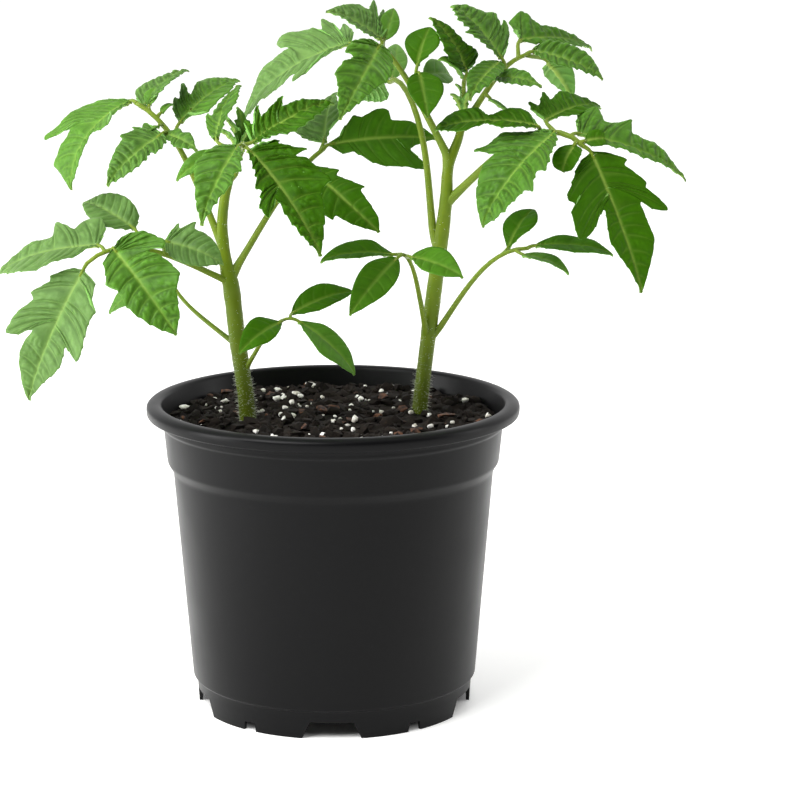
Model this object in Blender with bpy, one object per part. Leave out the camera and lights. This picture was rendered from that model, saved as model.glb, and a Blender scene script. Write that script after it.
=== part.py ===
"""Two tomato seedlings in a round black nursery pot: the pot, its soil, the stems, and every large leaf.

Lengths are in millimetres and turned to metres where a mesh is made.  The origin is the centre of the
pot's foot on the surface it stands on, +Z is up, and -Y is the pot's front.
Headings are seen from above, anticlockwise from +X; pitches and rises are above the horizontal.
"""

import math
from collections import namedtuple

import bmesh
import bpy
from mathutils import Matrix, Vector
from mathutils.geometry import interpolate_bezier

MM = 0.001
GAP = 0.3            # clearance between pieces that touch

# ---------------------------------------------------------------- pot
POT_SIDES = 72
POT_HEIGHT = 124.6
LIP_RADIUS = 75.0
MOUTH_RADIUS = 69.1
BAND_TOP_RADIUS = 68.2
BAND_BASE_RADIUS = 66.8
BAND_TOP = 115.5
BAND_BASE = 100.5
BODY_TOP_RADIUS = 64.5
BODY_TOP = 96.5
BODY_BASE_RADIUS = 57.6
FOOT_HEIGHT = 12.0
FOOT_RADIUS = 55.4
WALL = 1.4
FLOOR_UNDERSIDE = 7.6
NOTCHES = 5
NOTCH_HEIGHT = 6.8
NOTCH_HALF_WIDTH = 11.0
SMALL_NOTCH_HEIGHT = 3.5
SMALL_NOTCH_HALF_WIDTH = 3.0
DRAIN_HOLE_RADIUS = 4.5
DRAIN_CIRCLE_RADIUS = 38.0

# ---------------------------------------------------------------- soil
SOIL_SIDES = 48
SOIL_RINGS = 9
SOIL_LEVEL = 116.6
SOIL_MOUND = 1.2     # how much higher the middle lies than the edge
SOIL_LUMP = 0.9

# ---------------------------------------------------------------- plants
STEM_SIDES = 10
STALK_SIDES = 8
STALKLET_SIDES = 6
STALKLET_RADIUS = 0.65
BLADE_THICKNESS = 0.8
FOLD = 0.22          # rise of a blade's sides from its midrib, per millimetre of width

Stem = namedtuple("Stem", "points base_radius tip_radius")
STEMS = {
    "stem_left": Stem(
        [(-33, -6, 103), (-35, -6, 128), (-37, -5, 150), (-39, -4, 174), (-42, -3, 198), (-39, -4, 215),
         (-36, -4, 225)], 3.9, 1.7),
    "stem_right": Stem(
        [(33, 1, 103), (36, 1, 132), (40, 2, 165), (43, 1, 188), (45, 0, 205), (46, 0, 219), (50, 1, 230),
         (52, 0, 240)], 4.1, 1.5),
}

# A leaf leaves its stem at a height above the foot.  Its stalk sets off along heading and rise, and bends
# over to end_rise, mostly in its outer half, while its heading changes by turn.
Leaf = namedtuple("Leaf", "stem height heading turn rise end_rise length radius leaflets")
# A leaflet sits at a share of the stalk's length, on a stalklet, and its blade runs along its own heading
# and pitch.  roll turns it about that line.  left and right are the outline of each side from base to
# tip, as (distance along, reach): lobe tips and the notches between them, or the widest spot of an oval.
Leaflet = namedtuple("Leaflet", "name place stalklet blade roll left right camber", defaults=(0.07,))

LEAVES = {
    "left_leaf_1": Leaf("stem_left", 142, 320, 0, 54, 6, 30, 1.0, [
        Leaflet("front", 0.85, (268, 2, 3), (226, -21, 24), -25, [(12, 6)], [(9, 7)]),
        Leaflet("back", 1.00, (91, 28, 3), (26, 15, 28), 30, [(13, 7)], [(12, 6)]),
        Leaflet("end", 1.00, (5, -14, 3), (336, -37, 31), 20, [(14, 6)], [(17, 8)]),
    ]),
    "left_leaf_2": Leaf("stem_left", 149, 150, 5, 30, 75, 40, 1.1, [
        Leaflet("end", 1.00, (139, 27, 3), (151, -16, 30), -55, [(12, 9)], [(11, 8)]),
    ]),
    "left_leaf_3": Leaf("stem_left", 174, 200, 0, 27, -43, 60, 1.3, [
        Leaflet("inner", 0.45, (272, 52, 8), (346, -18, 25), 40,
                [(3, 9), (8, 11), (11, 8), (15, 8), (20, 5)], [(4, 5), (9, 8), (18, 7)]),
        Leaflet("back", 0.62, (106, 30, 13), (141, 16, 30), -30,
                [(4, 5), (8, 8), (16, 8), (23, 5)], [(3, 6), (8, 8), (15, 9), (22, 6)]),
        Leaflet("front", 0.80, (268, 21, 4), (319, -41, 45), 40,
                [(3, 14), (13, 17), (13, 11), (18, 13), (27, 14), (36, 8)],
                [(4, 7), (16, 11), (18, 9), (27, 10), (36, 7), (42, 3)]),
        Leaflet("outer", 0.86, (143, 44, 4), (163, -16, 46), -30,
                [(4, 2), (9, 8), (22, 14), (31, 12)],
                [(3, 15), (8, 14), (12, 9), (19, 14), (22, 8), (30, 7), (37, 4)]),
        Leaflet("end", 1.00, (225, -46, 3), (204, -64, 55), -40,
                [(2, 8), (14, 15), (32, 17), (30, 9), (39, 9), (50, 4)],
                [(2, 5), (9, 11), (16, 14), (18, 13), (34, 17), (29, 8), (40, 8), (48, 6)], 0.05),
    ]),
    "left_leaf_4": Leaf("stem_left", 182, 25, -5, 56, 33, 55, 1.5, [
        Leaflet("front", 0.86, (260, -14, 4), (327, -35, 41), 60,
                [(8, 5), (12, 7), (14, 5), (25, 9), (26, 6), (37, 4)], [(8, 7), (19, 10), (25, 9), (26, 6), (33, 5)]),
        Leaflet("back", 0.97, (70, 40, 5), (79, 40, 29), -20,
                [(3, 8), (7, 13), (12, 10), (20, 5)], [(5, 3), (9, 8), (17, 5)]),
        Leaflet("end", 1.00, (45, 37, 3), (13, 2, 45), 60,
                [(5, 3), (7, 6), (11, 10), (14, 9), (21, 12), (25, 11), (27, 7), (36, 6)],
                [(5, 5), (9, 5), (16, 11), (28, 14), (38, 13), (33, 6), (38, 3)]),
    ]),
    "left_leaf_5": Leaf("stem_left", 192, 160, 5, 67, 25, 62, 1.5, [
        Leaflet("inner", 0.66, (79, 37, 10), (35, 30, 32), 10,
                [(4, 9), (8, 12), (8, 8), (15, 14), (13, 6), (21, 10), (28, 5)], [(5, 4), (9, 10), (21, 9)]),
        Leaflet("lower", 0.72, (251, 3, 6), (214, -36, 31), -25,
                [(3, 6), (10, 8), (11, 6), (16, 8), (26, 4)],
                [(1, 10), (3, 8), (6, 11), (7, 9), (12, 10), (13, 8), (18, 7), (25, 4)]),
        Leaflet("upper", 0.97, (86, -19, 3), (39, 33, 26), -5,
                [(6, 11), (13, 8), (20, 4)], [(3, 3), (8, 8), (15, 8)]),
        Leaflet("end", 1.00, (160, 30, 5), (206, -51, 43), -10,
                [(6, 3), (11, 5), (15, 11), (19, 8), (21, 3), (30, 5), (38, 3)],
                [(4, 10), (8, 14), (17, 16), (31, 21), (24, 11), (34, 11), (39, 12), (40, 7)], 0.16),
    ]),
    "left_leaf_6": Leaf("stem_left", 217, 280, 0, 37, -16, 35, 1.3, [
        Leaflet("up", 0.50, (159, 21, 11), (59, 51, 26), -20,
                [(3, 5), (11, 8), (12, 5), (18, 3)], [(6, 5), (14, 8), (20, 6)]),
        Leaflet("right", 0.90, (357, 12, 3), (11, 26, 35), 25,
                [(2, 13), (4, 8), (9, 14), (9, 8), (19, 12), (18, 7), (27, 5)], [(4, 4), (16, 11), (24, 9)]),
        Leaflet("front", 1.00, (250, 14, 6), (244, -41, 39), -5,
                [(6, 5), (17, 6), (23, 7), (32, 4)], [(2, 7), (5, 9), (11, 9), (15, 11), (20, 8), (30, 4)]),
        Leaflet("big", 1.00, (290, 0, 4), (310, -38, 56), 20,
                [(1, 12), (13, 17), (15, 12), (19, 15), (32, 17), (34, 12), (42, 9), (52, 3)],
                [(8, 4), (21, 9), (23, 8), (35, 12), (31, 6), (37, 5), (46, 4)]),
    ]),
    "right_leaf_1": Leaf("stem_right", 158, 235, 13, 72, 7, 36, 1.2, [
        Leaflet("left", 1.00, (173, 1, 3), (192, -2, 29), -20, [(17, 6)], [(12, 8)]),
        Leaflet("low", 1.00, (239, -9, 3), (228, -34, 33), -35, [(15, 7)], [(15, 7)]),
        Leaflet("right", 0.90, (287, 6, 6), (317, -9, 27), 35, [(11, 7)], [(15, 6)]),
    ]),
    "right_leaf_2": Leaf("stem_right", 155, 345, 0, 57, 0, 49, 1.3, [
        Leaflet("up", 0.78, (41, 33, 3), (44, 46, 21), 5, [(12, 7)], [(13, 8)]),
        Leaflet("low", 0.90, (300, -12, 5), (326, -13, 22), 10, [(10, 4)], [(11, 4)]),
        Leaflet("end", 1.00, (3, 26, 3), (353, -4, 31), 25, [(13, 5)], [(16, 7)]),
    ]),
    "right_leaf_3": Leaf("stem_right", 195, 150, -42, 84, -28, 74, 1.6, [
        Leaflet("end", 1.00, (158, 21, 3), (127, -22, 27), 55,
                [(3, 6), (9, 10), (17, 8)], [(4, 5), (11, 9), (19, 6)]),
    ]),
    "right_leaf_4": Leaf("stem_right", 208, 340, -3, 44, -47, 62, 1.7, [
        Leaflet("inner", 0.70, (255, 38, 6), (174, -2, 40), -25,
                [(6, 5), (13, 7), (19, 4), (27, 8), (34, 6)], [(4, 7), (12, 7), (19, 4), (25, 7), (33, 6)]),
        Leaflet("big", 0.76, (292, 10, 6), (216, -42, 49), -10,
                [(4, 5), (12, 10), (21, 15), (23, 12), (31, 16), (33, 11), (42, 8)],
                [(2, 7), (8, 15), (17, 19), (23, 21), (22, 13), (29, 13), (37, 9), (45, 4)]),
        Leaflet("back", 0.80, (125, 32, 8), (46, 6, 34), 20,
                [(1, 9), (3, 12), (5, 8), (12, 13), (12, 8), (19, 10), (28, 5)], [(6, 3), (12, 7), (22, 6)]),
        Leaflet("far", 0.90, (45, 18, 4), (8, -25, 45), 35,
                [(2, 11), (6, 16), (10, 10), (19, 15), (21, 8), (30, 8), (40, 4)],
                [(8, 4), (18, 5), (28, 5), (38, 3)]),
        Leaflet("end", 1.00, (3, -32, 4), (321, -64, 58), 30,
                [(1, 3), (3, 9), (8, 12), (10, 10), (18, 15), (31, 19), (26, 10), (37, 11), (53, 4)],
                [(2, 4), (5, 9), (15, 19), (17, 16), (22, 19), (32, 18), (30, 12), (24, 6), (36, 7), (46, 5)], 0.04),
    ]),
    "right_leaf_5": Leaf("stem_right", 225, 200, 0, 62, 45, 49, 1.6, [
        Leaflet("low_up", 0.50, (268, 60, 14), (52, 62, 17), 15, [(9, 7)], [(10, 7)]),
        Leaflet("low_droop", 0.50, (275, 55, 13), (281, -43, 22), 5, [(10, 8)], [(9, 6)]),
        Leaflet("out", 0.98, (155, 10, 14), (163, -34, 57), -30,
                [(6, 3), (13, 8), (20, 17), (26, 10), (33, 12), (38, 13), (47, 8)],
                [(3, 14), (6, 12), (10, 19), (13, 14), (22, 20), (30, 20), (28, 12), (39, 12), (49, 6)], 0.10),
        Leaflet("front", 1.00, (255, 19, 4), (236, -44, 37), -40,
                [(1, 5), (10, 9), (18, 7), (28, 4)], [(1, 5), (3, 8), (11, 10), (12, 7), (17, 9), (24, 8), (33, 3)]),
        Leaflet("top", 1.00, (148, 85, 3), (191, 29, 24), -40,
                [(8, 4), (16, 3)], [(3, 13), (6, 9), (9, 13), (12, 8), (15, 8), (20, 4)]),
    ]),
    "right_leaf_6": Leaf("stem_right", 239, 20, 0, 55, 13, 33, 1.4, [
        Leaflet("low", 0.45, (270, 43, 4), (322, -4, 23), 30,
                [(2, 5), (8, 5), (13, 4), (18, 2)], [(4, 3), (10, 5), (17, 4)]),
        Leaflet("front", 0.60, (272, 47, 7), (240, -25, 28), -5,
                [(6, 5), (14, 6), (21, 5)], [(3, 5), (12, 6), (19, 5)]),
        Leaflet("top", 0.70, (249, 49, 5), (163, 45, 29), -25,
                [(3, 2), (10, 6), (16, 9), (17, 6), (22, 6)],
                [(4, 7), (6, 10), (11, 12), (12, 9), (16, 11), (18, 8), (25, 4)]),
        Leaflet("back", 0.90, (85, 42, 10), (37, -7, 39), 35,
                [(2, 12), (7, 15), (13, 8), (20, 6), (30, 3)], [(5, 6), (12, 8), (15, 6), (24, 7), (32, 4)]),
        Leaflet("end", 1.00, (6, 35, 3), (348, -19, 30), 35,
                [(2, 9), (8, 10), (16, 10), (23, 7)], [(5, 5), (13, 7), (22, 5)]),
    ]),
    "right_leaf_7": Leaf("stem_right", 240, 250, 0, 86, 86, 12, 1.2, [
        Leaflet("up", 1.00, (3, 67, 4), (196, 56, 26), -50,
                [(4, 6), (10, 9), (18, 7)], [(1, 8), (3, 9), (8, 6), (14, 5), (20, 4)]),
    ]),
}


def material(name, hex_colour, roughness):
    made = bpy.data.materials.new(name)
    made.use_nodes = True
    shader = made.node_tree.nodes["Principled BSDF"]
    channels = [int(hex_colour[i:i + 2], 16) / 255 for i in (0, 2, 4)]
    linear = [c / 12.92 if c <= 0.04045 else ((c + 0.055) / 1.055) ** 2.4 for c in channels]
    shader.inputs["Base Color"].default_value = (*linear, 1.0)
    shader.inputs["Roughness"].default_value = roughness
    shader.inputs["Metallic"].default_value = 0.0
    return made


def place(name, mesh, finish):
    mesh.materials.append(finish)
    obj = bpy.data.objects.new(name, mesh)
    bpy.context.scene.collection.objects.link(obj)
    return obj


def mesh_of(name, points, faces, smooth=True):
    """A mesh from points in millimetres, with its faces turned outwards."""
    shape = bmesh.new()
    corners = [shape.verts.new(Vector(p) * MM) for p in points]
    for face in faces:
        shape.faces.new([corners[i] for i in face])
    bmesh.ops.recalc_face_normals(shape, faces=shape.faces)
    mesh = bpy.data.meshes.new(name)
    shape.to_mesh(mesh)
    shape.free()
    if smooth:
        mesh.shade_smooth()
        mesh.set_sharp_from_angle(angle=math.radians(40))
    return mesh


def helper(name, mesh):
    """A cutter or a shape to join, which isn't a piece itself."""
    obj = bpy.data.objects.new(name, mesh)
    bpy.context.scene.collection.objects.link(obj)
    obj.hide_render = True
    obj.display_type = "WIRE"
    return obj


def combine(obj, operation, other):
    step = obj.modifiers.new(f"{operation.lower()} {other.name}", "BOOLEAN")
    step.operation = operation
    step.solver = "EXACT"
    step.object = other


# ---------------------------------------------------------------- shared geometry
def direction(heading, pitch):
    h, p = math.radians(heading), math.radians(pitch)
    return Vector((math.cos(p) * math.cos(h), math.cos(p) * math.sin(h), math.sin(p)))


def smooth_line(points, per_span=3):
    """Points along a smooth curve through the given ones."""
    knots = [Vector(p) for p in points]
    line = []
    for i in range(len(knots) - 1):
        before = knots[max(i - 1, 0)]
        after = knots[min(i + 2, len(knots) - 1)]
        reach = (knots[i + 1] - knots[i]) / 3
        lean_in = (knots[i + 1] - before).normalized() * reach.length
        lean_out = (after - knots[i]).normalized() * reach.length
        span = interpolate_bezier(knots[i], knots[i] + lean_in, knots[i + 1] - lean_out, knots[i + 1], per_span + 1)
        line.extend(span if i == len(knots) - 2 else span[:-1])
    return line


def tube(name, line, radii, sides):
    """A closed tube along a line, with one radius for each of its points."""
    points, faces = [], []
    across = Vector((1, 0, 0)) if abs((line[1] - line[0]).normalized().x) < 0.8 else Vector((0, 1, 0))
    for i, centre in enumerate(line):
        along = (line[min(i + 1, len(line) - 1)] - line[max(i - 1, 0)]).normalized()
        across = (across - along * across.dot(along)).normalized()
        other = along.cross(across)
        for k in range(sides):
            angle = 2 * math.pi * k / sides
            points.append(centre + (across * math.cos(angle) + other * math.sin(angle)) * radii[i])
    for i in range(len(line) - 1):
        for k in range(sides):
            a, b = i * sides + k, i * sides + (k + 1) % sides
            faces.append((a, b, b + sides, a + sides))
    faces.append(range(sides))
    faces.append(range(len(points) - sides, len(points)))
    return mesh_of(name, points, faces)


def taper(start, end, count):
    return [start + (end - start) * i / (count - 1) for i in range(count)]


# ---------------------------------------------------------------- pot
def pot_profile():
    """Half of the pot's section as (radius, height): up the inside, over the lip, down the outside."""
    inner_floor = FLOOR_UNDERSIDE + WALL + 0.4
    outside = [
        (MOUTH_RADIUS, POT_HEIGHT - 0.6),
        (MOUTH_RADIUS + 1.6, POT_HEIGHT),
        (LIP_RADIUS - 2.4, POT_HEIGHT - 0.3),
        (LIP_RADIUS - 0.7, POT_HEIGHT - 1.5),
        (LIP_RADIUS, POT_HEIGHT - 3.2),
        (LIP_RADIUS - 0.2, POT_HEIGHT - 5.0),
        (LIP_RADIUS - 1.4, POT_HEIGHT - 5.4),
        (BAND_TOP_RADIUS + 2.0, POT_HEIGHT - 5.2),
        (BAND_TOP_RADIUS + 0.9, BAND_TOP + 2.2),
        (BAND_TOP_RADIUS + 0.9, BAND_TOP + 0.3),
        (BAND_TOP_RADIUS, BAND_TOP - 0.8),
        (BAND_BASE_RADIUS, BAND_BASE),
        (BODY_TOP_RADIUS + 0.8, BODY_TOP + 1.6),
        (BODY_TOP_RADIUS, BODY_TOP),
        (BODY_BASE_RADIUS, FOOT_HEIGHT),
        (BODY_BASE_RADIUS - 1.2, FOOT_HEIGHT - 0.8),
        (FOOT_RADIUS, 0),
    ]
    underneath = [
        (FOOT_RADIUS - WALL, 0),
        (FOOT_RADIUS - WALL + 0.5, FLOOR_UNDERSIDE),
        (0, FLOOR_UNDERSIDE),
    ]
    inside = [
        (0, inner_floor),
        (BODY_BASE_RADIUS - WALL - 1.0, inner_floor),
        (BODY_TOP_RADIUS - WALL, BODY_TOP - 0.5),
        (BAND_BASE_RADIUS - WALL, BAND_BASE + 1.0),
        (BAND_TOP_RADIUS - WALL, BAND_TOP + 1.0),
    ]
    return inside + outside + underneath


def notch_cutter(name, heading, half_width, height):
    """A wedge that cuts a notch, narrower at its top, through the foot's wall."""
    outline = [(-half_width, -2), (half_width, -2), (half_width * 0.8, height), (-half_width * 0.8, height)]
    points = [(depth, across, z) for depth in (FOOT_RADIUS - 9, FOOT_RADIUS + 6) for across, z in outline]
    faces = [(0, 1, 2, 3), (4, 5, 6, 7), (0, 1, 5, 4), (1, 2, 6, 5), (2, 3, 7, 6), (3, 0, 4, 7)]
    cutter = helper(name, mesh_of(name, points, faces, smooth=False))
    cutter.rotation_euler.z = math.radians(heading)
    return cutter


def drain_cutter(name, heading, distance):
    """An upright rod that cuts one round hole in the floor."""
    spot = direction(heading, 0) * distance
    line = [spot + Vector((0, 0, FLOOR_UNDERSIDE - 3)), spot + Vector((0, 0, FLOOR_UNDERSIDE + 5))]
    return helper(name, tube(name, line, [DRAIN_HOLE_RADIUS] * 2, 16))


def build_pot():
    profile = bpy.data.meshes.new("pot")
    corners = [Vector((r, 0, z)) * MM for r, z in pot_profile()]
    profile.from_pydata(corners, [(i, i + 1) for i in range(len(corners) - 1)], [])
    pot = place("pot", profile, material("black polypropylene", "1E1F21", 0.42))
    turn = pot.modifiers.new("turn", "SCREW")
    turn.angle = 2 * math.pi
    turn.steps = POT_SIDES
    turn.render_steps = POT_SIDES
    turn.use_merge_vertices = True
    turn.merge_threshold = 0.0001
    front = 270
    spacing = 360 / NOTCHES
    for i in range(NOTCHES):
        heading = front + i * spacing
        combine(pot, "DIFFERENCE", notch_cutter(f"notch {i}", heading, NOTCH_HALF_WIDTH, NOTCH_HEIGHT))
        between = heading + spacing / 2
        combine(pot, "DIFFERENCE", notch_cutter(f"small notch {i}", between, SMALL_NOTCH_HALF_WIDTH,
                                                SMALL_NOTCH_HEIGHT))
        combine(pot, "DIFFERENCE", drain_cutter(f"drain {i}", heading, DRAIN_CIRCLE_RADIUS))
    combine(pot, "DIFFERENCE", drain_cutter("drain middle", front, 0))


# ---------------------------------------------------------------- soil
def soil_height(x, y):
    """A low mound with soft lumps."""
    edge = math.hypot(x, y) / BAND_TOP_RADIUS
    lumps = math.sin(0.21 * x + 1.3) * math.cos(0.17 * y) + 0.6 * math.sin(0.33 * y + 0.11 * x)
    return SOIL_LEVEL + SOIL_MOUND * (1 - edge ** 2) + SOIL_LUMP * lumps * (1 - edge ** 6)


def build_soil():
    """A plug that fills the pot from its floor, with a lumpy top and a pocket for each stem."""
    base = FLOOR_UNDERSIDE + WALL + 0.4 + GAP
    inset = WALL + GAP + 0.1
    side = [
        (BODY_BASE_RADIUS - inset - 1.0, base),
        (BODY_TOP_RADIUS - inset, BODY_TOP - 0.5),
        (BAND_BASE_RADIUS - inset, BAND_BASE + 1.5),
    ]
    top_radius = BAND_TOP_RADIUS - inset - 0.3
    points = [(0, 0, base)]
    rings = [[(r, z) for _ in range(SOIL_SIDES)] for r, z in side]
    for ring in range(SOIL_RINGS):
        radius = top_radius * (1 - ring / SOIL_RINGS)
        rings.append([(radius, None)] * SOIL_SIDES)
    for ring in rings:
        for k, (radius, z) in enumerate(ring):
            angle = 2 * math.pi * k / SOIL_SIDES
            x, y = radius * math.cos(angle), radius * math.sin(angle)
            points.append((x, y, soil_height(x, y) if z is None else z))
    points.append((0, 0, soil_height(0, 0)))
    faces = []
    for k in range(SOIL_SIDES):
        following = (k + 1) % SOIL_SIDES
        faces.append((0, 1 + following, 1 + k))
        for ring in range(len(rings) - 1):
            a, b = 1 + ring * SOIL_SIDES + k, 1 + ring * SOIL_SIDES + following
            faces.append((a, b, b + SOIL_SIDES, a + SOIL_SIDES))
        last = 1 + (len(rings) - 1) * SOIL_SIDES
        faces.append((last + k, last + following, len(points) - 1))
    soil = place("soil", mesh_of("soil", points, faces), material("potting mix", "2A1E17", 0.95))
    for name in STEMS:
        line, radii = stem_line(name)
        pocket = [line[0] - (line[1] - line[0]).normalized()] + line
        wider = [r + GAP for r in [radii[0]] + radii]
        combine(soil, "DIFFERENCE", helper(f"{name} pocket", tube(f"{name} pocket", pocket, wider, STEM_SIDES)))


# ---------------------------------------------------------------- stems and leaf stalks
def stem_line(name):
    stem = STEMS[name]
    line = smooth_line(stem.points)
    return line, taper(stem.base_radius, stem.tip_radius, len(line))


def stem_at(name, height):
    """The centre and radius of a stem at a height above the foot."""
    line, radii = stem_line(name)
    for i in range(len(line) - 1):
        if line[i].z <= height <= line[i + 1].z:
            share = (height - line[i].z) / (line[i + 1].z - line[i].z)
            return line[i].lerp(line[i + 1], share), radii[i] + (radii[i + 1] - radii[i]) * share
    return line[-1], radii[-1]


def stalk_line(leaf, steps=12):
    """The centre line of a leaf's stalk, from just outside the stem."""
    centre, stem_radius = stem_at(leaf.stem, leaf.height)
    if leaf.height >= STEMS[leaf.stem].points[-1][2]:
        start = centre + Vector((0, 0, GAP))
    else:
        clear = stem_radius + GAP + leaf.radius * math.sin(math.radians(leaf.rise)) + 0.2
        start = centre + direction(leaf.heading, 0) * clear
    line = [start]
    for i in range(steps):
        share = (i + 0.5) / steps
        bend = leaf.rise + (leaf.end_rise - leaf.rise) * share ** 3
        line.append(line[-1] + direction(leaf.heading + leaf.turn * share, bend) * leaf.length / steps)
    return line


def point_along(line, share):
    position = share * (len(line) - 1)
    i = min(int(position), len(line) - 2)
    return line[i].lerp(line[i + 1], position - i)


def blade_base(line, leaflet):
    return point_along(line, leaflet.place) + direction(*leaflet.stalklet[:2]) * leaflet.stalklet[2]


def build_stalk(name, leaf, finish):
    line = stalk_line(leaf)
    end_radius = 0.6 * leaf.radius
    stalk = place(f"{name}_stalk", tube(name, line, taper(leaf.radius, end_radius, len(line)), STALK_SIDES), finish)
    for leaflet in leaf.leaflets:
        root = point_along(line, leaflet.place)
        toward = (root - blade_base(line, leaflet)).normalized()
        reach = leaflet.stalklet[2] - GAP
        offshoot = [root - toward * reach * share for share in (0, 0.5, 1)]
        label = f"{name} {leaflet.name} stalklet"
        combine(stalk, "UNION", helper(label, tube(label, offshoot, [STALKLET_RADIUS] * 3, STALKLET_SIDES)))


# ---------------------------------------------------------------- leaflet blades
def side_outline(points, length):
    """One side of a blade from base to tip as (distance along, reach)."""
    root = [(0, STALKLET_RADIUS)]
    if len(points) > 1:
        return root + points
    widest, reach = points[0]
    power = math.log(0.5) / math.log(widest / length)
    shares = (0.08, 0.2, 0.35, 0.5, 0.65, 0.8, 0.92)
    return root + [(length * s, reach * math.sin(math.pi * s ** power) ** 0.8) for s in shares]


def blade_height(x, y, length, camber):
    """The arch of a blade along its midrib, with its two sides folded up from it."""
    share = max(0.0, min(1.0, x / length))
    return camber * length * 4 * share * (1 - share) + FOLD * abs(y) * min(1.0, 4 * share)


def blade_mesh(name, leaflet):
    """The blade in its own frame: x from base to tip, y to its left, z out of its upper face."""
    length = leaflet.blade[2]
    left = side_outline(leaflet.left, length)
    right = side_outline(leaflet.right, length)
    shape = bmesh.new()
    midrib = [shape.verts.new((length * i / 6, 0, 0)) for i in range(7)]
    left_rim = [shape.verts.new((x, y, 0)) for x, y in left]
    right_rim = [shape.verts.new((x, -y, 0)) for x, y in right]
    shape.faces.new(midrib + left_rim[::-1])
    shape.faces.new(midrib[::-1] + right_rim)
    bmesh.ops.triangulate(shape, faces=shape.faces, ngon_method="BEAUTY")
    for corner in shape.verts:
        corner.co.z = blade_height(corner.co.x, corner.co.y, length, leaflet.camber)
    shape.normal_update()
    bmesh.ops.scale(shape, vec=Vector((MM, MM, MM)), verts=shape.verts)
    mesh = bpy.data.meshes.new(name)
    shape.to_mesh(mesh)
    shape.free()
    mesh.shade_smooth()
    return mesh


def blade_frame(base, heading, pitch, roll):
    """The placing of a blade: x along it, z out of its upper face."""
    along = direction(heading, pitch)
    left = Vector((-math.sin(math.radians(heading)), math.cos(math.radians(heading)), 0))
    up = along.cross(left)
    angle = math.radians(roll)
    side = left * math.cos(angle) + up * math.sin(angle)
    out = along.cross(side)
    turn = Matrix((along, side, out)).transposed().to_4x4()
    return Matrix.Translation(base * MM) @ turn


def build_leaflet(name, line, leaflet, finish):
    blade = place(name, blade_mesh(name, leaflet), finish)
    heading, pitch, _ = leaflet.blade
    root = blade_base(line, leaflet) + direction(heading, pitch) * (GAP + 0.2)
    blade.matrix_world = blade_frame(root, heading, pitch, leaflet.roll)
    thicken = blade.modifiers.new("thickness", "SOLIDIFY")
    thicken.thickness = BLADE_THICKNESS * MM
    thicken.offset = 0


def build_plants():
    stem_green = material("tomato stem", "7C9A3A", 0.5)
    stalk_green = material("tomato leaf stalk", "86A63E", 0.5)
    leaf_green = material("tomato leaf", "4E8A2C", 0.55)
    for name in STEMS:
        line, radii = stem_line(name)
        place(name, tube(name, line, radii, STEM_SIDES), stem_green)
    for name, leaf in LEAVES.items():
        line = stalk_line(leaf)
        build_stalk(name, leaf, stalk_green)
        for leaflet in leaf.leaflets:
            build_leaflet(f"{name}_{leaflet.name}", line, leaflet, leaf_green)


def main():
    for obj in list(bpy.data.objects):
        bpy.data.objects.remove(obj, do_unlink=True)
    build_pot()
    build_soil()
    build_plants()


main()
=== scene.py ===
"""Two tomato seedlings in a black nursery pot: the finished pot, soil, stems and leaves.

Tables are in millimetres and degrees, and turned to metres where a mesh is made.  Headings are seen from
above, anticlockwise from +X; pitches and rises are above the horizontal.  -Y is the pot's front.
"""

import math
import random
from collections import namedtuple

import bmesh
import bpy
import numpy as np
from bpy.props import FloatProperty, FloatVectorProperty, IntProperty, PointerProperty
from mathutils import Matrix, Vector, noise


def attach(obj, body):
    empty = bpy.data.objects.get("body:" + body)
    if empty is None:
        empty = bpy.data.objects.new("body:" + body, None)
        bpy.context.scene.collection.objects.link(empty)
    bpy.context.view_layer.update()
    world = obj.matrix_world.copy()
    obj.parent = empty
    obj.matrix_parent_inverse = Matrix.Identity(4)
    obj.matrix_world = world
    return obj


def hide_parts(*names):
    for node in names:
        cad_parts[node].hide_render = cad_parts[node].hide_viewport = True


bl_info = {
    "name": "Potted Tomato Plant",
    "version": (1, 0, 0),
    "blender": (4, 5, 0),
    "location": "3D Viewport > Sidebar > Tomato Plant",
    "description": "Two tomato seedlings with veined, lobed leaves in a black nursery pot",
    "category": "Object",
}

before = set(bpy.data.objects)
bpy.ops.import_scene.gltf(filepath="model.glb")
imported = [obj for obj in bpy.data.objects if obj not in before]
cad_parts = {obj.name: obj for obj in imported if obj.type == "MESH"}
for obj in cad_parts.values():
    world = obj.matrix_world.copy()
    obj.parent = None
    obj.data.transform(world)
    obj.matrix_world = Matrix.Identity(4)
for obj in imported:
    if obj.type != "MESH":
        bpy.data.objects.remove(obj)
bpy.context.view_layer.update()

MM = 0.001
BODY = "root"

# ---------------------------------------------------------------- what the plants are
# A stem is a line of (x, y, z, radius).
STEMS = {
    "stem_left": [(-33, -6, 103, 3.3), (-35, -6, 128, 3.2), (-38, -5, 150, 3.25), (-40.3, -4, 171, 3.3),
                  (-42.6, -3.5, 182, 2.5), (-43.5, -3, 198, 2.1), (-40.5, -4, 215, 1.9),
                  (-36, -4, 225, 1.5)],
    "stem_right": [(33, 1, 103, 3.1), (36, 1, 132, 3.0), (40, 2, 165, 3.1), (43, 1, 188, 2.9),
                   (45, 0, 205, 2.5), (46, 0, 219, 2.1), (50, 1, 230, 1.7), (52, 0, 240, 1.4)],
}

# A leaf's stalk comes out of its stem at start.  It sets off along heading and rise, and bends over to
# end_rise, mostly in its outer half, while its heading changes by turn.
Leaf = namedtuple("Leaf", "stem start heading turn rise end_rise length radius leaflets")
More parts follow.
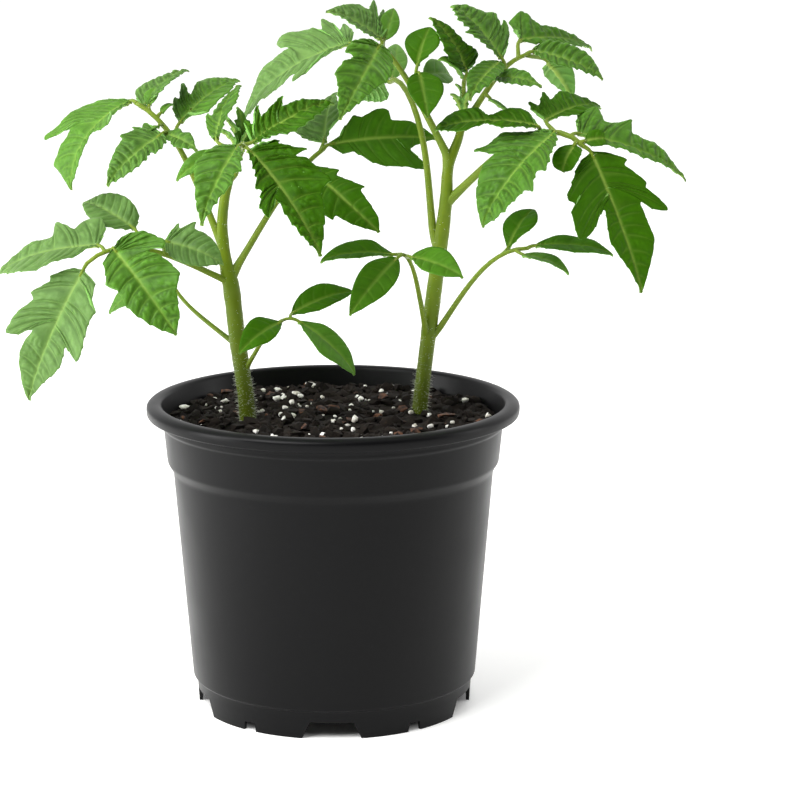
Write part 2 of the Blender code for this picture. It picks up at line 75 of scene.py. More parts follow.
# A leaflet sits at place, a share of the stalk's length, on a stalklet of (heading, pitch, length).  Its
# blade is another (heading, pitch, length), and roll turns it about that line.  left and right are the
# outline of each side from base to tip, as (distance along, reach): lobe tips and the notches between
# them, or the widest spot alone for an oval.  tone runs from 0, deep green, to 1, pale and velvety, and
# varies a little by chance; at -0.1 it stays deep green.  tone is partly the leaflet's own green and partly
# painted light and shade: leaflets in the light are given paler tones, and leaflets in shade deeper ones.
# quilt is how strongly the blade swells between its veins.  camber is how high the blade arches, as a
# share of its length.
Leaflet = namedtuple("Leaflet", "name place stalklet blade roll left right tone quilt camber",
                     defaults=(0.4, 0.6, 0.07))

LEAVES = {
    "left_leaf_1": Leaf("stem_left", (-32.7, -8.4, 142), 320, 0, 54, 6, 30, 1.0, [
        Leaflet("front", 0.85, (268, 2, 3), (226, -21, 24), -25, [(12, 6)], [(9, 7)], -0.1, 0.4),
        Leaflet("back", 1.00, (91, 28, 3), (26, 15, 28), 30, [(13, 7)], [(12, 6)], 0.1, 0.4),
        Leaflet("end", 1.00, (5, -14, 3), (336, -37, 31), 20, [(14, 6)], [(17, 8)], 0.3, 0.4),
    ]),
    "left_leaf_2": Leaf("stem_left", (-40.6, -2.9, 149), 150, 5, 30, 75, 40, 1.1, [
        Leaflet("end", 1.00, (139, 27, 3), (151, -16, 30), -55, [(12, 9)], [(11, 8)], 0.5, 0.6),
        Leaflet("low", 0.80, (126, 41, 7), (175, -30, 29), -40, [(13, 6)], [(13, 6)], 0.5, 0.6),
    ]),
    "left_leaf_3": Leaf("stem_left", (-42.7, -5.3, 174), 200, 0, 27, -43, 60, 1.3, [
        Leaflet("inner", 0.45, (272, 52, 8), (346, -18, 25), 40,
                [(1, 10), (3, 7), (8, 11), (9, 8), (14, 8), (20, 5)],
                [(3, 5), (9, 9), (18, 7)], 0.95, 0.5),
        Leaflet("back", 0.62, (106, 30, 13), (141, 16, 30), -30,
                [(4, 5), (8, 8), (16, 8), (23, 5)], [(3, 6), (8, 8), (15, 9), (22, 6)], 1, 0.4),
        Leaflet("front", 0.80, (268, 21, 4), (319, -41, 45), 40,
                [(-2, 6), (-1, 10), (2, 14), (12, 17), (14, 15), (11, 10), (18, 13), (27, 14), (31, 10),
                 (40, 5)],
                [(4, 7), (7, 8), (15, 11), (18, 9), (27, 10), (36, 7), (42, 3)], 0.45, 0.9),
        Leaflet("outer", 0.86, (143, 44, 4), (163, -16, 46), -30,
                [(4, 2), (9, 8), (22, 14), (33, 11)],
                [(-1, 10), (2, 16), (8, 15), (11, 9.5), (15, 12), (20, 15), (20.5, 8), (30, 7),
                 (38, 4)], 1, 0.5),
        Leaflet("end", 1.00, (225, -46, 3), (204, -64, 55), -40,
                [(3, 8), (10, 11), (13, 15), (17, 14), (27, 17), (33, 16), (30, 9), (38, 10), (46, 5)],
                [(1, 5), (7, 11), (9, 10), (16, 15), (18, 13), (28, 17), (34, 17.5), (33, 13), (29, 8),
                 (35, 9), (42, 8), (50, 4)], 1, 0.6, 0.05),
    ]),
    "left_leaf_4": Leaf("stem_left", (-36.1, -1.7, 182), 25, -5, 56, 33, 55, 1.5, [
        Leaflet("front", 0.86, (260, -14, 4), (327, -35, 41), 60,
                [(8, 5), (12, 7), (13, 5), (25, 9), (25, 7), (37, 4)],
                [(8, 7), (19, 10), (25, 9), (25, 7), (32, 5)], -0.1, 0.4),
        Leaflet("back", 0.97, (70, 40, 5), (79, 40, 29), -20,
                [(3, 8), (7, 13), (12, 10), (20, 5)], [(5, 3), (9, 8), (17, 5)], 0.85, 0.5),
        Leaflet("end", 1.00, (45, 37, 3), (13, 2, 45), 60,
                [(5, 3), (7, 6), (11, 10), (14, 9), (21, 12), (25, 11), (26, 7), (35, 6)],
                [(5, 5), (9, 5), (16, 11), (28, 14), (38, 14), (32, 6), (37, 3)], 0.15, 0.4),
    ]),
    "left_leaf_5": Leaf("stem_left", (-45.7, -1.6, 192), 160, 5, 67, 25, 62, 1.5, [
        Leaflet("inner", 0.66, (79, 37, 10), (35, 30, 32), 10,
                [(4, 9), (8, 12), (8, 9), (15, 14), (12, 6), (21, 10), (28, 5)],
                [(5, 4), (8, 11), (21, 9)], 0.4, 0.7),
        Leaflet("lower", 0.72, (251, 3, 6), (214, -36, 31), -25,
                [(3, 6), (10, 8), (11, 6), (15, 8), (26, 4)],
                [(0, 10), (3, 8), (5, 11), (6, 9), (12, 10), (13, 8), (18, 7), (25, 4)], 0.7, 0.9),
        Leaflet("upper", 0.97, (86, -19, 3), (39, 33, 26), -5,
                [(6, 11), (13, 8), (20, 4)], [(3, 3), (8, 8), (15, 8)], 0.75, 0.8),
        Leaflet("end", 1.00, (130, 18, 4), (206, -51, 43), -10,
                [(6, 3), (11, 5), (15, 11), (18, 9), (20, 3), (30, 5), (38, 3)],
                [(4, 10), (8, 14), (17, 16), (31, 21), (23, 11), (34, 11), (38, 13),
                 (39, 9)], 0.45, 0.5, 0.16),
        Leaflet("short", 0.70, (212, 17, 3), (316, -14, 19), 30,
                [(5, 4), (8, 3), (12, 4)], [(4, 4), (7, 3), (12, 5)], 0.6, 0.8),
        Leaflet("tiny_a", 0.84, (60, 30, 3), (45, 30, 7), 0, [(3, 2)], [(3, 2)], 0.5, 0.5),
        Leaflet("tiny_b", 0.78, (240, 10, 2), (215, -20, 6), 0, [(3, 2)], [(3, 2)], 0.4, 0.5),
        Leaflet("tiny_c", 0.90, (100, 40, 3), (70, 50, 9), 0, [(4, 3)], [(4, 3)], 0.5, 0.5),
    ]),
    "left_leaf_6": Leaf("stem_left", (-37.9, -7.3, 217), 280, 0, 37, -16, 35, 1.3, [
        Leaflet("up", 0.50, (159, 21, 11), (59, 51, 26), -20,
                [(3, 5), (11, 8), (10, 5), (18, 3)], [(6, 5), (14, 8), (20, 6)], 0.35, 0.9),
        Leaflet("right", 0.90, (357, 12, 3), (11, 26, 35), 25,
                [(2, 14), (4, 8), (9, 14), (8, 8), (19, 12), (17, 7), (27, 5)],
                [(4, 4), (16, 12), (24, 10)], 0.15, 1.2),
        Leaflet("front", 1.00, (250, 14, 6), (244, -41, 39), -5,
                [(7, 5), (15, 8), (17, 6), (22, 7), (27, 5), (33, 3)],
                [(1, 7), (4, 9), (10, 10), (15, 11), (22, 8), (32, 4)], 0.5, 1.2),
        Leaflet("big", 1.00, (290, 0, 4), (310, -38, 56), 20,
                [(1, 5), (2, 12), (4, 11), (13, 17.5), (14, 12), (19, 15), (32, 17), (34, 12), (42, 9),
                 (52, 3)],
                [(7, 3), (16, 6), (22, 9), (24, 8), (32, 13), (36, 12), (34, 9), (30, 5), (36, 5),
                 (46, 4)], 0.05, 1.3),
        Leaflet("left", 0.70, (179, -13, 9), (206, -29, 20), -40, [(8, 4)], [(8, 4)], 0.4, 0.8),
    ]),
    "right_leaf_1": Leaf("stem_right", (36.2, -2.3, 158), 235, 13, 72, 7, 36, 1.2, [
        Leaflet("left", 1.00, (173, 1, 3), (192, -2, 29), -20, [(17, 6)], [(12, 8)], 0.1, 0.4),
        Leaflet("low", 1.00, (239, -9, 3), (228, -34, 33), -35, [(15, 7)], [(15, 7)], 0.2, 0.4),
        Leaflet("right", 0.90, (287, 6, 6), (317, -9, 27), 35, [(11, 7)], [(15, 6)], 0.22, 0.4),
    ]),
    "right_leaf_2": Leaf("stem_right", (43.6, 0.5, 155), 345, 0, 57, 0, 49, 1.3, [
        Leaflet("up", 0.78, (41, 33, 3), (44, 46, 21), 5, [(12, 7)], [(13, 8)], 0.1, 0.4),
        Leaflet("low", 0.90, (300, -12, 5), (326, -13, 22), 10, [(10, 4)], [(11, 4)], 0.3, 0.4),
        Leaflet("end", 1.00, (3, 26, 3), (353, -4, 31), 25, [(13, 5)], [(16, 7)], 0.2, 0.4),
    ]),
    "right_leaf_3": Leaf("stem_right", (39.6, 3, 195), 150, -42, 84, -28, 74, 1.6, [
        Leaflet("end", 1.00, (158, 21, 3), (127, -22, 27), 55,
                [(3, 6), (9, 10), (17, 8)], [(4, 5), (11, 9), (19, 6)], 0.7, 0.6),
        Leaflet("side", 0.97, (93, 4, 4), (81, 39, 21), 25, [(9, 5)], [(9, 5)], 0.7, 0.5),
    ]),
    "right_leaf_4": Leaf("stem_right", (49.1, -1.5, 208), 340, -3, 44, -47, 62, 1.7, [
        Leaflet("inner", 0.70, (255, 38, 6), (174, -2, 40), -25,
                [(6, 5), (13, 7), (19, 3), (27, 8), (34, 6)],
                [(4, 8), (12, 7), (19, 3), (24, 7), (33, 7)], 0.1, 0.7),
        Leaflet("big", 0.76, (292, 10, 6), (216, -42, 49), -10,
                [(4, 5), (12, 10), (21, 15), (23, 12), (31, 16), (32, 12), (42, 9)],
                [(2, 7), (8, 15), (17, 19), (23, 21), (21, 13), (29, 13), (36, 10), (45, 4)], 0.3, 1.1),
        Leaflet("back", 0.80, (125, 32, 8), (46, 6, 34), 20,
                [(1, 9), (3, 12), (4, 8), (12, 13), (11, 8), (20, 10), (28, 5)],
                [(6, 3), (12, 7), (22, 6)], 0.2, 0.8),
        Leaflet("far", 0.90, (45, 18, 4), (8, -22, 48), 35,
                [(-1, 7), (0, 12), (6, 16), (10, 9), (18, 12), (20, 13), (21, 7), (31, 6), (41, 2.5)],
                [(8, 4), (18, 4.5), (28, 4), (38, 2)], 0.4, 0.8),
        Leaflet("end", 1.00, (3, -32, 4), (321, -64, 58), 30,
                [(1, 4), (3, 8), (7, 12), (9, 10), (18, 15.5), (20, 14.5), (25, 17), (31, 19.5), (29, 14),
                 (25, 10), (33, 10.5), (41, 10), (52, 4)],
                [(3, 7), (9, 13), (14, 18), (16, 18), (18, 16), (21, 19), (28, 20.5), (31.5, 19.5),
                 (32, 17), (30, 13), (26, 9), (23.5, 5), (29, 6), (37, 7), (48, 3)], -0.1, 0.4, 0.04),
        Leaflet("small", 0.97, (350, 20, 2), (5, 8, 8), 58,
                [(2, 3), (6, 3.5), (8, 2.5)], [(2, 3), (6, 3.5), (8, 2.5)], 0.1, 0.4),
        Leaflet("round", 0.96, (240, -10, 2.5), (225, -55, 12), -10,
                [(2, 5), (7, 6), (11, 4)], [(2, 4), (7, 5.5), (11, 4)], 0.05, 0.4),
    ]),
    "right_leaf_5": Leaf("stem_right", (44.4, -0.7, 225), 200, 0, 62, 45, 49, 1.6, [
        Leaflet("low_up", 0.50, (268, 60, 14), (52, 62, 17), 15, [(9, 7)], [(10, 7)], -0.1, 0.5),
        Leaflet("low_droop", 0.50, (275, 55, 13), (281, -43, 22), 5, [(10, 8)], [(9, 6)], -0.1, 0.5),
        Leaflet("low_back", 0.50, (350, 76, 9), (55, -4, 20), 50, [(9, 6)], [(9, 6)], 0.7, 0.5),
        Leaflet("out", 0.98, (155, 10, 14), (163, -34, 57), -30,
                [(6, 3), (13, 8), (17, 14), (22, 18), (22.5, 10.5), (28, 13), (32, 12), (37, 14),
                 (47, 9)],
                [(-1, 7), (3, 17), (4.5, 12.5), (7, 18), (10, 21), (10.5, 14), (15, 18), (24, 21),
                 (31, 21.5), (29, 16), (25, 12), (34, 13), (42, 10), (50, 5)], 0.9, 0.6, 0.10),
        Leaflet("front", 1.00, (255, 19, 4), (236, -44, 37), -40,
                [(1, 5), (9, 9), (16, 9), (19, 7), (28, 4)],
                [(0, 5), (6, 10), (12, 10), (12.5, 6.5), (17, 9), (23, 9.5), (26, 7), (33, 3)], 0.5, 1.1),
        Leaflet("top", 1.00, (148, 85, 3), (191, 29, 24), -40,
                [(8, 4), (16, 3)],
                [(-2, 12), (1, 9), (2, 16), (4, 9), (8, 14), (9, 8), (14, 8), (20, 4)], 0.8, 0.8),
        Leaflet("up", 1.00, (83, 40, 3), (66, 50, 16), 35, [(7, 4)], [(7, 4)], 0.5, 0.8),
    ]),
    "right_leaf_6": Leaf("stem_right", (54.8, 1.2, 239), 20, 0, 55, 13, 33, 1.4, [
        Leaflet("low", 0.45, (270, 43, 4), (322, -4, 23), 30,
                [(1, 5), (8, 5), (10, 4), (14, 4), (18, 2)], [(4, 3), (10, 5), (17, 4)], 0.5, 0.8),
        Leaflet("front", 0.60, (272, 47, 7), (240, -25, 28), -5,
                [(6, 5), (14, 6), (21, 5)], [(3, 5), (12, 6), (19, 5)], 0.3, 0.9),
        Leaflet("top", 0.70, (249, 49, 5), (163, 45, 29), -25,
                [(3, 2), (10, 6), (16, 9), (16, 6), (22, 7)],
                [(3, 7), (6, 11), (11, 12), (10, 9), (16, 11), (17, 9), (25, 4)], 0.65, 1.1),
        Leaflet("back", 0.90, (85, 42, 10), (37, -7, 39), 35,
                [(1, 11), (4, 13), (7, 14), (12, 7), (20, 5), (30, 2.5)],
                [(5, 4), (12, 5), (14, 4), (24, 5), (32, 2.5)], 0.3, 0.9),
        Leaflet("end", 1.00, (6, 35, 3), (348, -19, 30), 35,
                [(2, 6), (8, 7), (16, 7), (23, 5)], [(5, 4), (13, 5), (22, 3.5)], 0.55, 1),
        Leaflet("droop", 1.00, (41, -15, 13), (23, -54, 19), -35,
                [(2, 5), (6, 7), (13, 4)], [(2, 5), (7, 6.5), (14, 3.5)], 0.6, 0.6),
        Leaflet("tiny", 0.30, (300, -20, 3), (345, -40, 12), 0, [(5, 2)], [(5, 2)], 0.6, 0.5),
    ]),
    "right_leaf_7": Leaf("stem_right", (52, 0, 240.3), 250, 0, 86, 86, 12, 1.2, [
        Leaflet("up", 1.00, (3, 67, 4), (196, 56, 26), -50,
                [(4, 6), (10, 9), (18, 7)], [(0, 8), (2, 10), (8, 6), (14, 4), (20, 3)], 0.15, 1),
        Leaflet("side", 0.80, (277, 58, 5), (226, 31, 16), -40, [(7, 4)], [(7, 4)], 0.1, 0.6),
    ]),
}

# Young leaves still folded at each growing tip, as (heading, pitch, length).
BUDS = {
    "stem_left": [(150, 62, 17), (205, 70, 14), (330, 66, 12), (100, 75, 18), (40, 50, 13), (180, 48, 13)],
    "stem_right": [(130, 70, 12), (290, 62, 10), (20, 75, 10), (210, 55, 10)],
}
# The outline of each side of a young leaf, as shares of its length.
YOUNG_EDGE = [(0.15, 0.14), (0.36, 0.22), (0.42, 0.14), (0.66, 0.19), (0.7, 0.12), (0.88, 0.08)]

# ---------------------------------------------------------------- how a blade is shaped
ROOT_HALF_WIDTH = 0.65
BLADE_THICKNESS = 0.34
BLADE_START = 0.5    # how far past the end of its stalklet a blade begins
ROW_STEP = 1.0       # widest gap between a half blade's lengthwise rows
SPAN_STEPS = 16      # points drawn between two knots of an outline
OVAL_STEPS = 60      # points drawn round one side of an oval
POINTED = 0.17       # handle length at lobe tips and notches, as a share of the chord
ROUNDED = 0.36       # handle length elsewhere

# How far an outline turns at a knot, in degrees, below 0 at a lobe's tip and above 0 in a notch.
LOBE_TURN = -20
NOTCH_TURN = 10
SHARP_LOBE_TURN = -62
SHARP_NOTCH_TURN = 25

# Veins and teeth.
VEIN_SLANT = 0.6     # how far a side vein leans to the tip, per millimetre of reach
VEIN_SPACING = 5.6
SMALL_VEIN_SPACING = 0.6   # the smallest lobed leaflets' vein spacing, as a share of the large ones'
FULL_SPACING_LENGTH = 45   # length from which a lobed leaflet has its veins at their full spacing
VEIN_HALF_WIDTH = 0.3
MIDRIB_HALF_WIDTH = 0.55
MIDRIB_FLAT = 0.22   # half-width of the strip between the two sides' vein feet, at the blade's base
VEIN_BOW = 0.07      # how far a side vein bows towards the base, as a share of its length
FOOT_MARGIN = 0.4    # kept between a vein and the rim it passes
OVAL_VEIN_SHARE = 0.6   # how clearly the small oval leaflets show their veins, against the lobed ones
TOOTH_HEIGHT = 0.5
TOOTH_FALL = 0.22    # share of the gap between two veins over which the rim falls off behind a tooth
# Where a blade's columns stand between two veins, as shares of the gap: closer beside the veins.
PHASES = np.array((0, 0.04, 0.09, 0.16, 0.25, 0.35, 0.45, 0.55, 0.65, 0.75, 0.84, 0.91, 0.96))

# A blade's relief, in millimetres where it isn't a share.
FOLD = 0.22          # rise of a blade's sides from its midrib, per millimetre of width
MIDRIB_GROOVE = 0.3
VEIN_GROOVE = 0.16
MIDRIB_KEEL = 0.75   # how far the midrib stands out beneath
VEIN_KEEL = 0.22
TIP_DROOP = 0.035    # how far the tip hangs below the arch, as a share of the blade's length
DROOP_FROM = 0.65    # share of the length where that begins
WAVE_HEIGHT = 0.55
WAVE_SPACING = 9
PUCKER_SPACING = 2.6
RIPPLE = 0.04        # height of the rim's regular ripples, as a share of its reach
RIPPLE_SPACING = 15
OVAL_QUILT = 0.45    # how strongly ovals swell between their veins, against lobed leaflets
FULL_QUILT_LENGTH = 26     # length from which a leaflet swells in full
FULL_TOOTH_LENGTH = 35     # length from which its teeth have their full height
YOUNG_QUILT = 0.5    # swelling of the young folded leaves, in millimetres
DOWNY_FROM = 0.3     # tone from which a blade shows its velvet of hairs
TONE_SPREAD = 0.06   # how far a leaflet's tone strays by chance

# ---------------------------------------------------------------- stems, stalks and their hairs
STEM_STEPS = 40      # rings between two given points of a stem
STEM_SIDES = 24
STALK_SIDES = 14
STALKLET_SIDES = 10
STEM_FLARE = 0.35    # how much thicker a stem is where it enters the soil
JOINT_SWELL = 0.12   # how much thicker it is at a leaf's joint
STALK_FLARE = 0.3    # how much thicker a stalk is where it comes out, as a share of its radius
KNOBS = 0.06         # unevenness of a stem's or a stalk's skin, as a share of its radius
STEM_FADE_TOP = 155  # height where a stem has lost the olive of its foot
STALK_FADE_TOP = 135
FADE_DEPTH = 35
HAIR_HALF_WIDTH = 0.06
DENSE_HAIRS = 8      # height above the soil up to which a stem is hairiest
HAIRS_FADE = 15      # height over which they thin out above that
SPARSE_HAIRS = 0.02  # share of the hairs kept far above it
STALK_HAIR_LENGTH = 0.7
STALKLET_HAIR_LENGTH = 0.8
STALKLET_HAIRS = 18

# ---------------------------------------------------------------- pot and soil
MOUTH_RADIUS = 69.1
POT_HEIGHT = 124.6
LIP_RADIUS = 75.0
BAND_TOP = 115.5
BAND_TOP_RADIUS = 68.2
BAND_BASE = 100.5
BAND_BASE_RADIUS = 66.8
BODY_TOP = 96.5
BODY_TOP_RADIUS = 64.5
FOOT_HEIGHT = 12.0
BODY_BASE_RADIUS = 57.6
FOOT_RADIUS = 55.4
WALL = 1.4
FLOOR_UNDERSIDE = 7.6
INNER_FLOOR = FLOOR_UNDERSIDE + WALL + 0.4
NOTCHES = 5
FRONT = 270
NOTCH = (11.8, 8.4, 6.8)         # half-width at the bottom, half-width at the top, height
SMALL_NOTCH = (3.0, 2.4, 3.5)
DRAIN_HOLE_RADIUS = 4.5
DRAIN_CIRCLE_RADIUS = 38.0
DRAIN_CUT = (4, 13)              # the heights between which a drain hole is cut
POT_SIDES = 240
POT_CREASE = 38                  # angle from which the pot's edges are sharp
FILLET_LIMIT = 0.48              # longest fillet, as a share of the side it is cut from
SOIL_LEVEL = 116.6
SOIL_MOUND = 1.2

# Loose grains on the soil: their smallest and largest size, how flat and how rugged they are, and how
# much of their height is sunk in.
Grain = namedtuple("Grain", "smallest largest flatness ruggedness sunk")
CRUMB = Grain(1.2, 6.4, 0.8, 0.95, 0.4)
PERLITE = Grain(1.0, 3.2, 0.85, 0.6, -0.1)
BARK = Grain(1.8, 6.0, 0.4, 0.8, -0.2)
CRUMB_CREASE = 50                # angles from which the grains' edges are sharp
BARK_CREASE = 35
SOIL_SEED = 11


# ---------------------------------------------------------------- vectors and lines
def direction(heading, pitch):
    """The unit vector that points along a heading and a pitch."""
    h, p = math.radians(heading), math.radians(pitch)
    return np.array((math.cos(p) * math.cos(h), math.cos(p) * math.sin(h), math.sin(p)))


def unit(vector):
    return vector / np.linalg.norm(vector)


def smoothstep(low, high, value):
    """0 below low, 1 above high, and a smooth rise between."""
    share = np.clip((value - low) / (high - low), 0, 1)
    return share * share * (3 - 2 * share)


def bezier(start, lean_out, lean_in, end, count):
    """Points on a Bezier curve from start up to, and not including, its end."""
    t = np.linspace(0, 1, count, endpoint=False)[:, None]
    near_start = (1 - t) ** 3 * start + 3 * (1 - t) ** 2 * t * lean_out
    return near_start + 3 * (1 - t) * t ** 2 * lean_in + t ** 3 * end


def smooth_line(points, per_span):
    """Points along a smooth curve through the given ones."""
    knots = [np.array(p, float) for p in points]
    spans = []
    for i in range(len(knots) - 1):
        before, after = knots[max(i - 1, 0)], knots[min(i + 2, len(knots) - 1)]
        reach = np.linalg.norm(knots[i + 1] - knots[i]) / 3
        lean_out = knots[i] + unit(knots[i + 1] - before) * reach
        lean_in = knots[i + 1] - unit(after - knots[i]) * reach
        spans.append(bezier(knots[i], lean_out, lean_in, knots[i + 1], per_span))
    return np.vstack(spans + [knots[-1][None]])


def point_along(line, share):
    """The point at a share of a line's steps."""
    position = share * (len(line) - 1)
    i = min(int(position), len(line) - 2)
    return line[i] + (line[i + 1] - line[i]) * (position - i)


# ---------------------------------------------------------------- meshes
def add_object(name, points, faces, finish, sharp=None, attributes=None):
    """A smooth-shaded object from points in millimetres, with the values its finish reads at each."""
    mesh = bpy.data.meshes.new(name)
    mesh.from_pydata((np.asarray(points) * MM).tolist(), [], [tuple(int(i) for i in f) for f in faces])
    mesh.materials.append(finish)
    for label, values in (attributes or {}).items():
        layer = mesh.attributes.new(label, "FLOAT", "POINT")
        layer.data.foreach_set("value", np.asarray(values, np.float32))
    mesh.shade_smooth()
    if sharp is not None:
        mesh.set_sharp_from_angle(angle=math.radians(sharp))
    mesh.update()
    obj = bpy.data.objects.new(name, mesh)
    bpy.context.scene.collection.objects.link(obj)
    return obj


def joined(parts):
    """One list of points and one of faces from several (points, faces) pairs."""
    points, faces, count = [], [], 0
    for part_points, part_faces in parts:
        points.append(np.asarray(part_points, float))
        faces.extend([tuple(i + count for i in face) for face in part_faces])
        count += len(part_points)
    return np.vstack(points), faces


def tube(line, radii, sides, knobs=0.0, seed=0):
    """Points and faces of a closed tube along a line, with one radius for each of its points."""
    cap_reach = 0.5
    line = np.asarray(line, float)
    across = np.array((1.0, 0, 0)) if abs(unit(line[1] - line[0])[0]) < 0.8 else np.array((0, 1.0, 0))
    angles = 2 * math.pi * np.arange(sides) / sides
    rings = []
    for i, centre in enumerate(line):
        along = unit(line[min(i + 1, len(line) - 1)] - line[max(i - 1, 0)])
        across = unit(across - along * across.dot(along))
        other = np.cross(along, across)
        wobble = np.array([1 + knobs * noise.noise(Vector((seed + math.cos(a), math.sin(a), 0.11 * i)))
                           for a in angles])
        ring = np.outer(np.cos(angles) * wobble, across) + np.outer(np.sin(angles) * wobble, other)
        rings.append(centre + ring * radii[i])
    cap_start = line[0] + unit(line[0] - line[1]) * radii[0] * cap_reach
    cap_end = line[-1] + unit(line[-1] - line[-2]) * radii[-1] * cap_reach
    points = np.vstack(rings + [cap_start[None], cap_end[None]])
    faces = []
    first, last = len(points) - 2, len(points) - 1
    for k in range(sides):
        following = (k + 1) % sides
        for i in range(len(line) - 1):
            a, b = i * sides + k, i * sides + following
            faces.append((a, b, b + sides, a + sides))
        faces.append((following, k, first))
        top = (len(line) - 1) * sides
        faces.append((top + k, top + following, last))
    return points, faces


def claim(obj, node=None):
    """Fixes a piece to the plant, and hides the plain node it stands for."""
    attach(obj, BODY)
    if node:
        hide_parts(node)


# ---------------------------------------------------------------- materials
# The sockets of a Mix node that take and give its colours.
MIX_LOW, MIX_HIGH, MIX_RESULT = 6, 7, 2


def linear(hex_colour):
    """An sRGB hex colour as linear red, green and blue."""
    channels = [int(hex_colour[i:i + 2], 16) / 255 for i in (0, 2, 4)]
    return tuple(c / 12.92 if c <= 0.04045 else ((c + 0.055) / 1.055) ** 2.4 for c in channels)


def set_inputs(node, **values):
    """Sets a node's inputs; a _ in a keyword stands for a space in the input's name."""
    for key, value in values.items():
        node.inputs[key.replace("_", " ")].default_value = value


def add_node(tree, kind, options=None, links=None, **values):
    """Adds one node: options are its properties, values its inputs' values, links its inputs' sources."""
    node = tree.nodes.new(kind)
    for key, value in (options or {}).items():
        setattr(node, key, value)
    set_inputs(node, **values)
    for key, source in (links or {}).items():
        tree.links.new(source, node.inputs[key])
    return node


def new_material(name):
    """A material, its node tree and its shader."""
    made = bpy.data.materials.new(name)
    made.use_nodes = True
    return made, made.node_tree, made.node_tree.nodes["Principled BSDF"]


def object_place(tree):
    """Where a point lies in its object, as an output."""
    return add_node(tree, "ShaderNodeTexCoord").outputs["Object"]


def object_noise(tree, spacing, detail, roughness=0.55):
    """Noise whose patches are about spacing millimetres apart, as its Fac output."""
    made = add_node(tree, "ShaderNodeTexNoise", links={"Vector": object_place(tree)},
                    Scale=1 / (spacing * MM), Detail=detail, Roughness=roughness)
    return made.outputs["Fac"]


def blend_colours(tree, share, low, high):
    """Mixes two colours, each linear RGB or an output, by a share that is an output."""
    mix = add_node(tree, "ShaderNodeMix", {"data_type": "RGBA"}, {0: share})
    for index, colour in ((MIX_LOW, low), (MIX_HIGH, high)):
        if isinstance(colour, bpy.types.NodeSocket):
            tree.links.new(colour, mix.inputs[index])
        else:
            mix.inputs[index].default_value = (*colour, 1.0)
    return mix.outputs[MIX_RESULT]


def ramp(tree, source, low, high, start=0.0, end=1.0):
    """Maps source from low..high onto start..end, smoothly and clamped."""
    made = add_node(tree, "ShaderNodeMapRange", {"interpolation_type": "SMOOTHSTEP"}, {"Value": source},
                    From_Min=low, From_Max=high, To_Min=start, To_Max=end)
    return made.outputs["Result"]


def times(tree, source, factor):
    """An output times a number."""
    made = add_node(tree, "ShaderNodeMath", {"operation": "MULTIPLY"}, {0: source})
    made.inputs[1].default_value = factor
    return made.outputs["Value"]


def attribute(tree, name):
    return add_node(tree, "ShaderNodeAttribute", {"attribute_name": name}).outputs["Fac"]


def shaded(colour, factors):
    """A colour with each channel times its factor."""
    return tuple(c * factor for c, factor in zip(colour, factors))


def bump(tree, shader, height, depth, strength):
    """Raises the surface by height times depth millimetres."""
    made = add_node(tree, "ShaderNodeBump", links={"Height": height},
                    Strength=strength, Distance=depth * MM)
    tree.links.new(made.outputs["Normal"], shader.inputs["Normal"])


def polypropylene(colour):
    """Black moulded polypropylene: a satin skin with faint flow marks, and dust in its fine texture."""
    made, tree, shader = new_material("black moulded polypropylene")
    flow = object_noise(tree, 22, 2)
    dust = ramp(tree, object_noise(tree, 2.2, 5, 0.7), 0.56, 0.78)
    dusty = tuple(c * 1.9 + 0.004 for c in colour)
    skin = blend_colours(tree, times(tree, dust, 0.35), colour, dusty)
    tree.links.new(skin, shader.inputs["Base Color"])
    tree.links.new(ramp(tree, flow, 0.3, 0.7, 0.33, 0.38), shader.inputs["Roughness"])
    bump(tree, shader, object_noise(tree, 0.5, 2), 0.03, 0.35)
    set_inputs(shader, Specular_IOR_Level=0.12)
    return made


def potting_mix(colour):
    """Moist peat potting mix: near-black brown fibres with drier brown specks and a rough grain."""
    made, tree, shader = new_material("moist peat potting mix")
    grain = object_noise(tree, 1.6, 6, 0.7)
    patches = object_noise(tree, 9, 3)
    dark = shaded(colour, (0.45, 0.45, 0.45))
    light = shaded(colour, (2.6, 2.3, 2.0))
    base = blend_colours(tree, ramp(tree, patches, 0.35, 0.65), dark, colour)
    speckled = blend_colours(tree, ramp(tree, grain, 0.56, 0.75), base, light)
    tree.links.new(speckled, shader.inputs["Base Color"])
    set_inputs(shader, Roughness=0.92, Specular_IOR_Level=0.25)
    bump(tree, shader, grain, 0.6, 0.8)
    return made


def perlite():
    """Expanded perlite: chalk-white, porous lumps, a little grey where they are damp."""
    made, tree, shader = new_material("expanded perlite")
    damp = ramp(tree, object_noise(tree, 2.5, 4), 0.4, 0.7)
    chalk = blend_colours(tree, damp, linear("F4F2EC"), linear("B9B3A6"))
    tree.links.new(chalk, shader.inputs["Base Color"])
    set_inputs(shader, Roughness=0.95)
    bump(tree, shader, object_noise(tree, 0.5, 3), 0.15, 0.7)
    return made


def pine_bark():
    """Composted pine bark: red-brown flakes, darker along the grain."""
    made, tree, shader = new_material("composted pine bark")
    grain = ramp(tree, object_noise(tree, 1.8, 5), 0.38, 0.66)
    brown = blend_colours(tree, grain, linear("20130D"), linear("5E3A24"))
    tree.links.new(brown, shader.inputs["Base Color"])
    set_inputs(shader, Roughness=0.85)
    bump(tree, shader, object_noise(tree, 0.8, 4), 0.25, 0.7)
    return made


